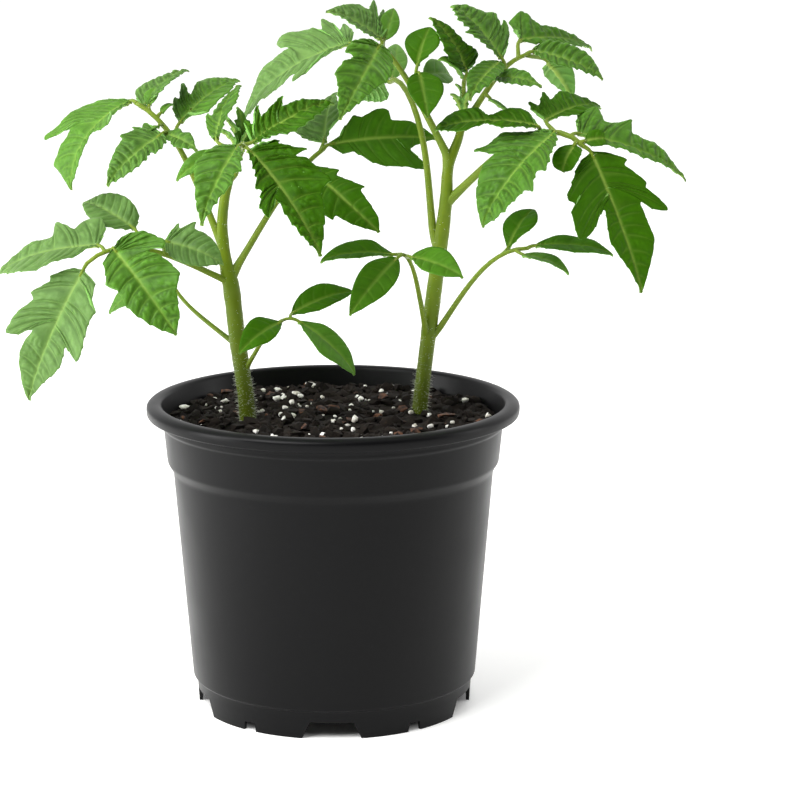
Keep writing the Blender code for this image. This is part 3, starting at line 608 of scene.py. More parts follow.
def stem_skin(colour, base_colour, name, fade_top):
    """Juicy tomato stem skin: yellow-green with darker patches, olive low down, with a soft shine."""
    made, tree, shader = new_material(name)
    height = add_node(tree, "ShaderNodeSeparateXYZ", links={"Vector": object_place(tree)}).outputs["Z"]
    low = ramp(tree, height, (fade_top - FADE_DEPTH) * MM, fade_top * MM, 1.0, 0.0)
    patches = ramp(tree, object_noise(tree, 7, 3), 0.35, 0.7)
    dark = shaded(colour, (0.62, 0.78, 0.5))
    skin = blend_colours(tree, times(tree, patches, 0.5), colour, dark)
    faded = blend_colours(tree, times(tree, low, 0.8), skin, base_colour)
    tree.links.new(faded, shader.inputs["Base Color"])
    set_inputs(shader, Roughness=0.42, Specular_IOR_Level=0.2, Sheen_Weight=0.03, Sheen_Roughness=0.4,
               Subsurface_Weight=0.1, Subsurface_Radius=(1.0, 1.2, 0.4), Subsurface_Scale=1.0 * MM)
    bump(tree, shader, object_noise(tree, 0.7, 3), 0.06, 0.6)
    return made


def hair_shell():
    """The short clear hairs of a tomato plant, which read as a white down."""
    made, _, shader = new_material("tomato stem hairs")
    set_inputs(shader, Base_Color=(*linear("E6EBD8"), 1.0), Roughness=0.5)
    return made


def leaf_skin(name, deep, middle, pale, vein_colour, underside, down):
    """A tomato leaf's blade: quilted green with paler veins, grey-green beneath, and a velvet of down.
    Its creases carry painted shade, and its tone is partly painted light and shade.
    """
    made, tree, shader = new_material(name)
    tone = attribute(tree, "tone")
    # The tone is partly the leaflet's own green and partly painted light and shade: paler for leaflets in
    # the light, deeper for those in shade.
    fresh = blend_colours(tree, ramp(tree, tone, 0.0, 0.5), deep, middle)
    leaf = blend_colours(tree, ramp(tree, tone, 0.45, 1.0), fresh, pale)
    shade = shaded(deep, (0.5, 0.5, 0.5))
    mottle = ramp(tree, object_noise(tree, 5, 4, 0.6), 0.3, 0.7, 0.3, 0.0)
    mottled = blend_colours(tree, mottle, leaf, shade)
    # Painted shade: the blade's creases beside its veins and its puckers are darkened towards the shade
    # green.
    with_painted_shade = blend_colours(tree, times(tree, attribute(tree, "hollow"), 0.75), mottled, shade)
    pale_vein = blend_colours(tree, ramp(tree, tone, 0.0, 1.0, 0.5, 0.25), leaf, vein_colour)
    veined = blend_colours(tree, attribute(tree, "vein"), with_painted_shade, pale_vein)
    below = blend_colours(tree, attribute(tree, "vein"), underside, vein_colour)
    both_sides = blend_colours(tree, attribute(tree, "below"), veined, below)
    tree.links.new(both_sides, shader.inputs["Base Color"])
    set_inputs(shader, Roughness=0.5, Specular_IOR_Level=0.05 + 0.1 * down,
               Sheen_Weight=0.1 * down, Sheen_Roughness=0.45, Sheen_Tint=(*linear("DDF2B8"), 1.0),
               Subsurface_Weight=0.08, Subsurface_Radius=(0.7, 1.2, 0.2), Subsurface_Scale=1.0 * MM)
    bump(tree, shader, object_noise(tree, 0.9, 4, 0.6), 0.14, 0.5)
    return made


# ---------------------------------------------------------------- settings a user can change
def colour_setting(name, description, hex_colour):
    return FloatVectorProperty(name=name, description=description, subtype="COLOR", size=3, min=0, max=1,
                               default=linear(hex_colour))


def length_setting(name, description, millimetres):
    return FloatProperty(name=name, description=description, unit="LENGTH", min=0, default=millimetres * MM)


class TomatoSettings(bpy.types.PropertyGroup):
    pot_colour: colour_setting("Pot", "Colour of the pot's plastic", "060607")
    soil_colour: colour_setting("Soil", "Colour of the moist potting mix", "1C150F")
    leaf_deep: colour_setting("Deep leaf", "Colour of the darkest leaflets", "345F04")
    leaf_middle: colour_setting("Fresh leaf", "Colour of leaflets between deep and pale", "508021")
    leaf_pale: colour_setting("Pale leaf", "Colour of the palest leaflets", "618443")
    vein_colour: colour_setting("Veins", "Colour of the midribs and side veins", "A8BE5A")
    underside_colour: colour_setting("Underside", "Colour of the leaves' undersides", "6A9A48")
    stem_colour: colour_setting("Stem", "Colour of the upper stems", "65790C")
    stem_base_colour: colour_setting("Stem base", "Colour of the stems near the soil", "4A5510")
    stalk_colour: colour_setting("Leaf stalk", "Colour of the leaf stalks", "6F8324")
    quilting: length_setting("Quilting", "How far a blade swells between its veins", 1.25)
    soil_roughness: length_setting("Soil roughness", "Height of the soil's lumps", 1.3)
    crumbs: IntProperty(name="Soil crumbs", description="Loose crumbs on the soil", min=0, default=1500)
    perlite: IntProperty(name="Perlite", description="White perlite lumps in the soil", min=0, default=150)
    bark: IntProperty(name="Bark", description="Bark flakes in the soil", min=0, default=60)
    stem_hairs: IntProperty(name="Stem hairs", description="Hairs tried on each stem", min=0, default=5000)
    stalk_hairs: IntProperty(name="Stalk hairs", description="Hairs on each leaf stalk", min=0, default=160)
    hair_length: length_setting("Hair length", "Length of the longest stem hairs", 2.3)


def settings():
    return bpy.context.scene.tomato


# ---------------------------------------------------------------- pot
def rounded(corners, steps=5):
    """A section line from (radius, height, fillet) corners, each fillet being an arc-like curve."""
    line = []
    for i, (r, z, fillet) in enumerate(corners):
        here = np.array((r, z))
        if fillet == 0 or i in (0, len(corners) - 1):
            line.append(here)
            continue
        before = np.array(corners[i - 1][:2]) - here
        after = np.array(corners[i + 1][:2]) - here
        start = here + unit(before) * min(fillet, np.linalg.norm(before) * FILLET_LIMIT)
        end = here + unit(after) * min(fillet, np.linalg.norm(after) * FILLET_LIMIT)
        for t in np.linspace(0, 1, steps):
            line.append((1 - t) ** 2 * start + 2 * (1 - t) * t * here + t ** 2 * end)
    return np.array(line)


def pot_wall():
    """The pot's section from the middle of its floor, up the inside, over the lip and down to the foot."""
    return rounded([
        (0, INNER_FLOOR, 0),
        (BODY_BASE_RADIUS - WALL - 1.0, INNER_FLOOR, 2.0),
        (BODY_TOP_RADIUS - WALL, BODY_TOP - 0.5, 1.5),
        (BAND_BASE_RADIUS - WALL, BAND_BASE + 1.0, 1.5),
        (BAND_TOP_RADIUS - WALL, BAND_TOP + 1.0, 1.0),
        (MOUTH_RADIUS, POT_HEIGHT - 0.6, 1.2),
        (MOUTH_RADIUS + 1.6, POT_HEIGHT, 0.8),
        (LIP_RADIUS - 2.0, POT_HEIGHT - 0.15, 1.2),
        (LIP_RADIUS - 0.1, POT_HEIGHT - 1.4, 1.2),
        (LIP_RADIUS, POT_HEIGHT - 3.2, 0.6),
        (LIP_RADIUS - 0.3, POT_HEIGHT - 5.1, 0.5),
        (LIP_RADIUS - 1.4, POT_HEIGHT - 5.5, 0.4),
        (BAND_TOP_RADIUS + 1.6, POT_HEIGHT - 5.3, 0.7),
        (BAND_TOP_RADIUS + 0.9, BAND_TOP + 1.6, 0.5),
        (BAND_TOP_RADIUS + 0.9, BAND_TOP + 0.3, 0.5),
        (BAND_TOP_RADIUS, BAND_TOP - 0.8, 0.5),
        (BAND_BASE_RADIUS, BAND_BASE, 0.8),
        (BODY_TOP_RADIUS + 0.8, BODY_TOP + 1.6, 1.0),
        (BODY_TOP_RADIUS, BODY_TOP, 1.0),
        (BODY_BASE_RADIUS, FOOT_HEIGHT, 0.5),
        (BODY_BASE_RADIUS - 1.2, FOOT_HEIGHT - 0.8, 0.5),
        (BODY_BASE_RADIUS - 1.7, FLOOR_UNDERSIDE + 0.2, 0),
    ])


def notch_height(heading):
    """How high the foot is cut away at a heading, with a large notch at the front and a small one next."""
    height = 0.0
    for i in range(NOTCHES * 2):
        wide, narrow, top = NOTCH if i % 2 == 0 else SMALL_NOTCH
        centre = FRONT + i * 180 / NOTCHES
        away = abs((heading - centre + 180) % 360 - 180) * math.radians(1) * FOOT_RADIUS
        if away < wide:
            height = max(height, top * min(1.0, (wide - away) / (wide - narrow)))
    return height


def pot_headings():
    """Even headings round the pot, and those of the notches' corners in place of their neighbours."""
    clearance = 0.4
    headings = set(np.round(np.arange(POT_SIDES) * 360 / POT_SIDES, 4))
    for i in range(NOTCHES * 2):
        wide, narrow, _ = NOTCH if i % 2 == 0 else SMALL_NOTCH
        for width in (wide, narrow):
            spread = math.degrees(width / FOOT_RADIUS)
            corners = {round((FRONT + i * 180 / NOTCHES + side * spread) % 360, 4) for side in (-1, 1)}
            headings = {h for h in headings if min(abs(h - c) for c in corners) > clearance} | corners
    return sorted(headings)


def pot_mesh():
    """The turned wall, ending in a foot whose bottom edge rises at each notch, and the underside."""
    wall = pot_wall()
    headings = pot_headings()
    foot_top = wall[-1]
    rows = []
    for heading in headings:
        cut = notch_height(heading)
        out = foot_top[0] + (FOOT_RADIUS - foot_top[0]) * (1 - cut / foot_top[1])
        inner = out - WALL
        column = list(wall) + [(out, cut), (inner, cut), (FOOT_RADIUS - WALL + 0.5, FLOOR_UNDERSIDE)]
        turn = direction(heading, 0)
        rows.append([(r * turn[0], r * turn[1], z) for r, z in column[1:]])
    count = len(rows[0])
    points = [(0, 0, INNER_FLOOR), (0, 0, FLOOR_UNDERSIDE)] + [p for row in rows for p in row]
    faces = []
    for k in range(len(rows)):
        a, b = 2 + k * count, 2 + (k + 1) % len(rows) * count
        faces.append((0, a, b))
        faces.append((1, b + count - 1, a + count - 1))
        faces.extend((a + i, a + i + 1, b + i + 1, b + i) for i in range(count - 1))
    return points, faces


def cut_holes(obj, cutters):
    """Cuts the cutters out of obj for good, and removes them."""
    for cutter in cutters:
        step = obj.modifiers.new("drain", "BOOLEAN")
        step.operation = "DIFFERENCE"
        step.solver = "EXACT"
        step.object = cutter
    graph = bpy.context.evaluated_depsgraph_get()
    finished = bpy.data.meshes.new_from_object(obj.evaluated_get(graph))
    obj.modifiers.clear()
    obj.data = finished
    for cutter in cutters:
        bpy.data.objects.remove(cutter, do_unlink=True)


def build_pot():
    finish = polypropylene(tuple(settings().pot_colour))
    points, faces = pot_mesh()
    pot = add_object("nursery_pot", points, faces, finish)
    spots = [(0, 0)] + [(FRONT + i * 360 / NOTCHES, DRAIN_CIRCLE_RADIUS) for i in range(NOTCHES)]
    cutters = []
    for heading, distance in spots:
        spot = direction(heading, 0) * distance
        rod = tube([spot + (0, 0, z) for z in DRAIN_CUT], [DRAIN_HOLE_RADIUS] * 2, 32)
        cutters.append(add_object("drain_hole", *rod, finish))
    cut_holes(pot, cutters)
    pot.data.shade_smooth()
    pot.data.set_sharp_from_angle(angle=math.radians(POT_CREASE))
    claim(pot, "pot")


# ---------------------------------------------------------------- soil
def soil_height(x, y):
    """A low mound with soft lumps and finer clods."""
    edge = math.hypot(x, y) / BAND_TOP_RADIUS
    lumps = 0.8 * math.sin(0.21 * x + 1.3) * math.cos(0.17 * y) + 0.5 * math.sin(0.33 * y + 0.11 * x)
    clods = sum(noise.noise(Vector((x, y, 7)) / size) * share
                for size, share in ((7, 1.0), (3.2, 0.6), (1.6, 0.3)))
    rough = settings().soil_roughness / MM
    return SOIL_LEVEL + SOIL_MOUND * (1 - edge ** 2) + lumps * (1 - edge ** 6) + rough * clods


def soil_mesh(sectors=200, rings=60):
    """A plug that fills the pot, with a cloddy top."""
    inset = WALL + 0.25
    side = [
        (BODY_BASE_RADIUS - inset - 1.4, INNER_FLOOR + 0.3),
        (BODY_TOP_RADIUS - inset, BODY_TOP - 0.6),
        (BAND_BASE_RADIUS - inset, BAND_BASE + 1.3),
    ]
    edge = BAND_TOP_RADIUS - inset - 0.2
    levels = side + [(edge * (1 - ring / rings), None) for ring in range(rings)]
    points = [(0, 0, side[0][1])]
    for radius, z in levels:
        for k in range(sectors):
            x, y, _ = direction(360 * k / sectors, 0) * radius
            points.append((x, y, soil_height(x, y) if z is None else z))
    points.append((0, 0, soil_height(0, 0)))
    faces = []
    top = 1 + (len(levels) - 1) * sectors
    for k in range(sectors):
        following = (k + 1) % sectors
        faces.append((0, 1 + following, 1 + k))
        for level in range(len(levels) - 1):
            a, b = 1 + level * sectors + k, 1 + level * sectors + following
            faces.append((a, b, b + sectors, a + sectors))
        faces.append((top + k, top + following, len(points) - 1))
    return points, faces


def round_block(subdivisions):
    """The points and faces of a small sphere of triangles."""
    shape = bmesh.new()
    bmesh.ops.create_icosphere(shape, subdivisions=subdivisions, radius=1)
    points = np.array([v.co[:] for v in shape.verts])
    faces = [tuple(v.index for v in f.verts) for f in shape.faces]
    shape.free()
    return points, faces


def scatter(count, grain, rng, block):
    """Irregular lumps strewn on the soil, as (points, faces) pairs."""
    base, faces = block
    lumps = []
    for _ in range(count):
        radius = math.sqrt(rng.random()) * (BAND_TOP_RADIUS - WALL - 2.2)
        x, y, _ = direction(rng.uniform(0, 360), 0) * radius
        size = grain.smallest + (grain.largest - grain.smallest) * rng.random() ** 2.2
        seed = Vector((rng.uniform(0, 99), rng.uniform(0, 99), rng.uniform(0, 99)))
        swell = [1 + grain.ruggedness * noise.noise(Vector(p) * 1.4 + seed) for p in base]
        stretch = np.array((rng.uniform(0.8, 1.5), rng.uniform(0.7, 1.0),
                            grain.flatness * rng.uniform(0.7, 1.1)))
        shaped = base * np.array(swell)[:, None] * stretch * size / 2
        spin = Matrix.Rotation(rng.uniform(0, 6.283), 3, "Z")
        turn = spin @ Matrix.Rotation(rng.uniform(-0.6, 0.6), 3, "X")
        spot = np.array((x, y, soil_height(x, y) + size * grain.flatness * (0.5 - grain.sunk)))
        lumps.append((shaped @ np.array(turn).T + spot, faces))
    return lumps


def build_soil():
    """The soil's plug and everything loose on it, whose places are drawn one after another."""
    chosen = settings()
    mix = potting_mix(tuple(chosen.soil_colour))
    claim(add_object("potting_mix", *soil_mesh(), mix), "soil")
    rng = random.Random(SOIL_SEED)
    coarse, fine = round_block(1), round_block(2)
    crumbs = scatter(chosen.crumbs, CRUMB, rng, coarse)
    claim(add_object("soil_crumbs", *joined(crumbs), mix, sharp=CRUMB_CREASE))
    lumps = scatter(chosen.perlite, PERLITE, rng, fine)
    claim(add_object("perlite_lumps", *joined(lumps), perlite()))
    flakes = scatter(chosen.bark, BARK, rng, coarse)
    claim(add_object("bark_flakes", *joined(flakes), pine_bark(), sharp=BARK_CREASE))


# ---------------------------------------------------------------- stems
def stem_line(name):
    """A stem's centre line and its radius at each point."""
    whole = smooth_line(STEMS[name], STEM_STEPS)
    return whole[:, :3], whole[:, 3]


def stem_at(name, height):
    """The centre and radius of a stem at a height."""
    line, radii = stem_line(name)
    centre = np.array([np.interp(height, line[:, 2], line[:, axis]) for axis in (0, 1, 2)])
    return centre, float(np.interp(height, line[:, 2], radii))


def stem_mesh(name, seed):
    """A stem that flares a little where it enters the soil and swells at each leaf's joint."""
    line, radii = stem_line(name)
    radii = radii + STEM_FLARE * np.exp(-(line[:, 2] - SOIL_LEVEL + 2).clip(0) / 3)
    for leaf in LEAVES.values():
        if leaf.stem == name:
            above = line[:, 2] - leaf.start[2] + 2
            radii = radii + JOINT_SWELL * np.exp(-(above / (2 * leaf.radius)) ** 2)
    return tube(line, radii, STEM_SIDES, KNOBS, seed)


def hair_tufts(line, radii, count, longest, rng, dense_to=None, fade=None):
    """Short tapering hairs standing out from a tube, thinning above dense_to where one is given."""
    hairs = []
    for _ in range(count):
        share = rng.random()
        centre = point_along(line, share)
        if dense_to is not None:
            kept = math.exp(-max(0.0, centre[2] - dense_to) / fade) + SPARSE_HAIRS
            if rng.random() > kept:
                continue
        along = unit(point_along(line, min(1, share + 0.02)) - point_along(line, max(0, share - 0.02)))
        across = unit(np.cross(along, (rng.uniform(-1, 1), rng.uniform(-1, 1), rng.uniform(-1, 1))))
        out = unit(across + along * rng.uniform(-0.3, 0.3))
        radius = float(np.interp(share * (len(radii) - 1), range(len(radii)), radii))
        root = centre + across * radius * 0.95
        length = longest * rng.uniform(0.35, 1.0)
        side = unit(np.cross(out, along)) * HAIR_HALF_WIDTH
        other = np.cross(out, side)
        base = [root + side, root - 0.5 * side + 0.87 * other, root - 0.5 * side - 0.87 * other]
        spike = np.array(base + [root + out * length])
        hairs.append((spike, [(0, 1, 3), (1, 2, 3), (2, 0, 3), (0, 2, 1)]))
    return hairs


def build_stems():
    chosen = settings()
    skin = stem_skin(tuple(chosen.stem_colour), tuple(chosen.stem_base_colour), "tomato stem skin",
                     STEM_FADE_TOP)
    for seed, name in enumerate(STEMS):
        claim(add_object(f"{name}_skin", *stem_mesh(name, seed), skin), name)


# ---------------------------------------------------------------- leaf stalks
def stalk_line(leaf, steps=12, fine=36):
    """The centre line of a leaf's stalk, from just outside the stem: bent in steps, then divided finely."""
    line = [np.array(leaf.start, float)]
    for i in range(steps):
        share = (i + 0.5) / steps
        bend = leaf.rise + (leaf.end_rise - leaf.rise) * share ** 3
        line.append(line[-1] + direction(leaf.heading + leaf.turn * share, bend) * leaf.length / steps)
    coarse = np.array(line)
    shares = np.linspace(0, steps, fine + 1)
    return np.array([np.interp(shares, range(steps + 1), coarse[:, axis]) for axis in (0, 1, 2)]).T


def blade_base(line, leaflet):
    """The end of a leaflet's stalklet."""
    return point_along(line, leaflet.place) + direction(*leaflet.stalklet[:2]) * leaflet.stalklet[2]


def rooted(leaf, line):
    """The stalk's line and radii, begun inside the stem below its start, and flared where it comes out."""
    farthest_back = 11.0
    beside, _ = stem_at(leaf.stem, leaf.start[2])
    apart = np.linalg.norm((line[0] - beside)[:2])
    back = min(apart / max(math.cos(math.radians(leaf.rise)), 0.25), farthest_back)
    set_off = direction(leaf.heading, leaf.rise)
    inside, _ = stem_at(leaf.stem, leaf.start[2] - back * math.sin(math.radians(leaf.rise)) - 1.5)
    up = np.array((0, 0, 1.0))
    emerging = bezier(inside, inside + up * back * 0.3, line[0] - set_off * back * 0.45, line[0], 10)
    whole = np.vstack([emerging, line])
    travelled = np.concatenate([[0], np.cumsum(np.linalg.norm(np.diff(whole, axis=0), axis=1))])
    share = travelled / travelled[-1]
    beyond = (travelled - back * 0.6).clip(0)
    flare = STALK_FLARE * leaf.radius * np.exp(-beyond / (2.5 * leaf.radius))
    return whole, leaf.radius * (1 - 0.4 * share) + flare


def stalklet_tube(leaf, line, leaflet):
    """A stalklet that leaves the stalk in a curve and runs into its blade's midrib."""
    start = point_along(line, leaflet.place)
    end = blade_base(line, leaflet)
    heading, pitch, length = leaflet.blade
    *set_off, reach = leaflet.stalklet
    along = direction(heading, pitch)
    stop = end + along * min(3.0, 0.1 * length)
    lean_out = start + direction(*set_off) * reach * 0.55
    knots = bezier(start, lean_out, end - along * reach * 0.25, stop, 10)
    path = np.vstack([knots, stop[None]])
    thick = min(0.95, 0.55 * leaf.radius + 0.15)
    return path, np.linspace(thick, 0.6, len(path))


def build_stalks():
    """Every leaf stalk with its stalklets, and the hairs of stalks and stems as one piece."""
    chosen = settings()
    skin = stem_skin(tuple(chosen.stalk_colour), tuple(chosen.stem_base_colour), "tomato leaf stalk skin",
                     STALK_FADE_TOP)
    hairs = []
    for seed, (name, leaf) in enumerate(LEAVES.items()):
        line = stalk_line(leaf)
        whole, radii = rooted(leaf, line)
        parts = [tube(whole, radii, STALK_SIDES, KNOBS, seed)]
        rng = random.Random(f"{name} hairs")
        hairs += hair_tufts(whole, radii, chosen.stalk_hairs, STALK_HAIR_LENGTH, rng)
        for leaflet in leaf.leaflets:
            path, thick = stalklet_tube(leaf, line, leaflet)
            parts.append(tube(path, thick, STALKLET_SIDES))
            hairs += hair_tufts(path, thick, STALKLET_HAIRS, STALKLET_HAIR_LENGTH, rng)
        claim(add_object(f"{name}_stalk_skin", *joined(parts), skin), f"{name}_stalk")
    for name in STEMS:
        line, radii = stem_line(name)
        rng = random.Random(f"{name} hairs")
        hairs += hair_tufts(line, radii, chosen.stem_hairs, chosen.hair_length / MM, rng,
                            SOIL_LEVEL + DENSE_HAIRS, HAIRS_FADE)
    claim(add_object("plant_hairs", *joined(hairs), hair_shell()))


# ---------------------------------------------------------------- leaf blades
def oval_curve(widest, reach, length):
    """One side of an untoothed blade, as a fine line of (distance along, reach)."""
    power = math.log(0.5) / math.log(widest / length)
    s = np.linspace(0, 1, OVAL_STEPS)
    width = reach * np.sin(math.pi * s ** power).clip(0) ** 0.8
    return np.column_stack([length * s, np.maximum(width, ROOT_HALF_WIDTH * (1 - s))])


def corner_turns(knots):
    """How far an outline turns at each inner point, in degrees: below 0 at a lobe's tip."""
    turns = [0.0]
    for before, here, after in zip(knots, knots[1:], knots[2:]):
        come, leave = here - before, after - here
        turns.append(math.degrees(math.atan2(come[0] * leave[1] - come[1] * leave[0], come.dot(leave))))
    return turns + [0.0]


def lobed_curve(knots, turns):
    """A fine line through an outline's points: narrow at lobe tips, tight in notches, rounded between."""
    line = []
    last = len(knots) - 1
    for i in range(last):
        chord = knots[i + 1] - knots[i]
        size = np.linalg.norm(chord)
        handles = []
        for k in (i, i + 1):
            if k in (0, last):
                handles.append(unit(chord) * size * POINTED)
                continue
            sharp = turns[k] < SHARP_LOBE_TURN or turns[k] > SHARP_NOTCH_TURN
            handles.append(unit(knots[k + 1] - knots[k - 1]) * size * (POINTED if sharp else ROUNDED))
        lean_out, lean_in = knots[i] + handles[0], knots[i + 1] - handles[1]
        line.append(bezier(knots[i], lean_out, lean_in, knots[i + 1], SPAN_STEPS))
    return np.vstack(line + [knots[-1][None]])


def vein_feet(knots, turns, length):
    """The lobe tips and notches of an outline as (index of the point, where its vein leaves the midrib)."""
    apart = 0.8     # kept between two lobes' veins on the midrib
    inset = 0.3     # kept between a notch's vein and its neighbours, as a share of the room there is
    tips = [i for i in range(1, len(knots) - 1) if turns[i] < LOBE_TURN]
    notches = [i for i in range(1, len(knots) - 1) if turns[i] > NOTCH_TURN]
    feet = {}
    lowest = 0.3
    for i in tips:
        x, y = knots[i]
        feet[i] = min(max(x - VEIN_SLANT * y, lowest), length - 1.0)
        lowest = feet[i] + apart
    for i in notches:
        earlier = max([feet[k] for k in tips if k < i], default=0.2)
        later = min([feet[k] for k in tips if k > i], default=length)
        wish = knots[i][0] - 0.5 * VEIN_SLANT * knots[i][1]
        feet[i] = min(max(wish, earlier + inset * (later - earlier)), later - inset * (later - earlier))
    return tips, sorted(feet.items())


def clear_feet(curve, feet, length):
    """The feet moved along the midrib until no line from a foot to its rim point cuts across the rim."""
    level = 0.96    # a rim point at this share of another's reach, or above it, can't be cut across
    x, y = curve.T
    order = np.arange(len(curve))
    moved = feet.copy()
    for i in order:
        share = y / max(y[i], 1e-6)
        meets = (x - x[i] * share) / (1 - share).clip(0.04)
        later = meets[(share < level) & (order > i)]
        earlier = meets[(share < level) & (order < i)]
        if len(later):
            moved[i] = min(moved[i], later.min() - FOOT_MARGIN)
        if len(earlier):
            moved[i] = max(moved[i], earlier.max() + FOOT_MARGIN)
    moved = moved.clip(0, length)
    return 0.5 * (np.maximum.accumulate(moved) + np.minimum.accumulate(moved[::-1])[::-1])


def half_blade(points, length, spacing, teeth, rng):
    """Columns of a half blade: rim points, their feet on the midrib, where each lies between two veins
    as a share of the gap, and how wide that gap is."""
    if len(points) == 1:
        curve = oval_curve(*points[0], length)
        tips, feet = [], []
    else:
        knots = np.array([(0, ROOT_HALF_WIDTH)] + list(points) + [(length, 0)], float)
        turns = corner_turns(knots)
        curve = lobed_curve(knots, turns)
        tips, feet = vein_feet(knots, turns, length)
    travelled = np.concatenate([[0], np.cumsum(np.linalg.norm(np.diff(curve, axis=0), axis=1))])
    whole = float(travelled[-1])
    if feet:
        knot_marks = [0.0] + [float(travelled[SPAN_STEPS * i]) for i, _ in feet] + [whole]
        places = np.interp(travelled, knot_marks, [0.0] + [foot for _, foot in feet] + [length])
        places = clear_feet(curve, places, length)
    else:
        places = np.maximum.accumulate((curve[:, 0] - VEIN_SLANT * curve[:, 1]).clip(0)) * 0.9
        places = places + 0.1 * np.linspace(0, length, len(curve))
    tip_marks = [float(travelled[SPAN_STEPS * i]) for i in tips]
    stops = [0.0] + [mark for mark in tip_marks if 1.5 < mark < whole - 2.0] + [whole]
    veins = [0.0]
    for start, end in zip(stops, stops[1:]):
        parts = max(1, round((end - start) / spacing))
        for part in range(1, parts + 1):
            jitter = rng.uniform(-0.12, 0.12) if part < parts else 0
            veins.append(start + (end - start) * (part + jitter) / parts)
    columns = [start + (end - start) * PHASES for start, end in zip(veins, veins[1:])]
    marks = np.concatenate(columns + [[whole]])
    phase = np.append(np.tile(PHASES, len(veins) - 1), 0.0)
    gaps = np.append(np.repeat(np.diff(veins), len(PHASES)), spacing)
    rim = np.column_stack([np.interp(marks, travelled, curve[:, axis]) for axis in (0, 1)])
    rim = rim + rim_teeth(rim, phase, gaps / spacing, marks / whole, teeth)
    return rim, np.interp(marks, travelled, places), phase, gaps


def rim_teeth(rim, phase, gap_share, rim_share, height):
    """How far each rim point moves so that every vein ends in a tooth that points to the blade's tip."""
    along = np.gradient(rim, axis=0)
    out = np.column_stack([-along[:, 1], along[:, 0]])
    out = out / np.linalg.norm(out, axis=1)[:, None].clip(1e-6)
    fall = 1 - 2 * smoothstep(0.0, TOOTH_FALL, phase)
    climb = -1 + 2 * ((phase - TOOTH_FALL) / (1 - TOOTH_FALL)).clip(0) ** 0.7
    tooth = np.where(phase < TOOTH_FALL, fall, climb)
    ends = smoothstep(0.0, 0.12, rim_share) * (1 - smoothstep(0.9, 1.0, rim_share))
    moved = out * (0.5 * height * tooth * ends * np.minimum(1, gap_share))[:, None]
    moved[:, 1] = np.maximum(moved[:, 1], -0.4 * rim[:, 1])
    return moved


def face_noise(x, y, seed):
    """Fine noise for a half blade's puckers and coarse noise for its waves, at each of its points."""
    fine = np.empty_like(x)
    coarse = np.empty_like(x)
    for index in np.ndindex(x.shape):
        px, py = x[index], y[index]
        fine[index] = noise.noise(Vector((px / PUCKER_SPACING + seed, py / PUCKER_SPACING, seed)))
        coarse[index] = noise.noise(Vector((px / WAVE_SPACING + seed, py / WAVE_SPACING, 3.3)))
    return fine, coarse


def grid_faces(columns, width, side):
    """Quads between neighbouring columns of width points each, turned to face up on either side."""
    faces = []
    for i in range(columns - 1):
        for k in range(width - 1):
            a = i * width + k
            corners = (a, a + width, a + width + 1, a + 1)
            faces.append(corners if side > 0 else (corners[0], *reversed(corners[1:])))
    return faces


def half_surface(points, length, spacing, side, camber, quilt, teeth, seed, rng):
    """One half of a blade's upper face: its points, faces, width and, per point, vein, the painted shade
    of its creases, and depth.
    """
    rim, feet, phase, gaps = half_blade(points, length, spacing, teeth, rng)
    rows = max(5, int(math.ceil(rim[:, 1].max() / ROW_STEP)))
    t = (np.arange(rows + 1) / rows)[None, :]
    foot_y = (MIDRIB_FLAT * (1 - feet / length))[:, None]
    x = feet[:, None] + (rim[:, 0] - feet)[:, None] * t
    y = foot_y + (rim[:, 1][:, None] - foot_y).clip(0) * t
    bow = VEIN_BOW * np.linalg.norm(rim - np.column_stack([feet, 0 * feet]), axis=1)
    x = x - (bow[:, None] * np.sin(math.pi * t)) * np.minimum(1, feet / 4)[:, None]
    s = (x / length).clip(0, 1)

    to_vein = np.minimum(phase, 1 - phase)[:, None] * gaps[:, None] * (0.35 + 0.65 * t)
    vein_line = np.exp(-(to_vein / VEIN_HALF_WIDTH) ** 2) * (1 - 0.6 * t)
    midrib = np.exp(-(y / MIDRIB_HALF_WIDTH) ** 2) * (1 - 0.6 * s)
    cell = np.sin(math.pi * phase)[:, None] ** 0.75 * np.minimum(1, gaps / spacing)[:, None]
    fine, coarse = face_noise(x, y * side, seed)
    puckers = 1 - (np.abs(fine) * 2.6).clip(0, 1)
    rise = smoothstep(0.0, 0.22, t) * (1 - 0.45 * smoothstep(0.75, 1.0, t))

    reach = rim[:, 1][:, None].clip(1)
    out = (y / reach).clip(0, 1)
    arch = camber * length * 4 * s * (1 - s)
    fold = FOLD * y * np.minimum(1, 4 * s) * (1 - 0.28 * out)
    tip_droop = -TIP_DROOP * length * ((s - DROOP_FROM) / (1 - DROOP_FROM)).clip(0) ** 2
    ripples = RIPPLE * reach * np.sin(x * 2 * math.pi / RIPPLE_SPACING + seed) * out ** 2
    wave = WAVE_HEIGHT * coarse * (0.3 + 0.7 * out) + ripples
    bulge = quilt * cell * rise * (1 - 0.7 * puckers) * (1 + 0.5 * coarse)
    z = arch + fold + tip_droop + wave + bulge - MIDRIB_GROOVE * midrib - VEIN_GROOVE * vein_line

    side_veins = 0.24 * min(1.0, 0.3 + 0.6 * quilt) * vein_line * (1 - smoothstep(0.6, 1.0, t))
    vein = np.maximum(0.9 * midrib, side_veins)
    # Painted shade: the strips beside the side veins and the pucker lines are darkened as if shadowed, more
    # on strongly quilted blades.
    shade_beside_veins = np.exp(-((to_vein - 0.55) / 0.4) ** 2)
    hollow = (0.75 * shade_beside_veins + 0.5 * puckers * cell) * rise * min(1.0, quilt)
    depth = BLADE_THICKNESS + MIDRIB_KEEL * midrib + VEIN_KEEL * vein_line
    shape = np.column_stack([x.ravel(), y.ravel() * side, z.ravel()])
    faces = grid_faces(len(feet), rows + 1, side)
    return shape, faces, rows + 1, np.column_stack([vein.ravel(), hollow.ravel(), depth.ravel()])


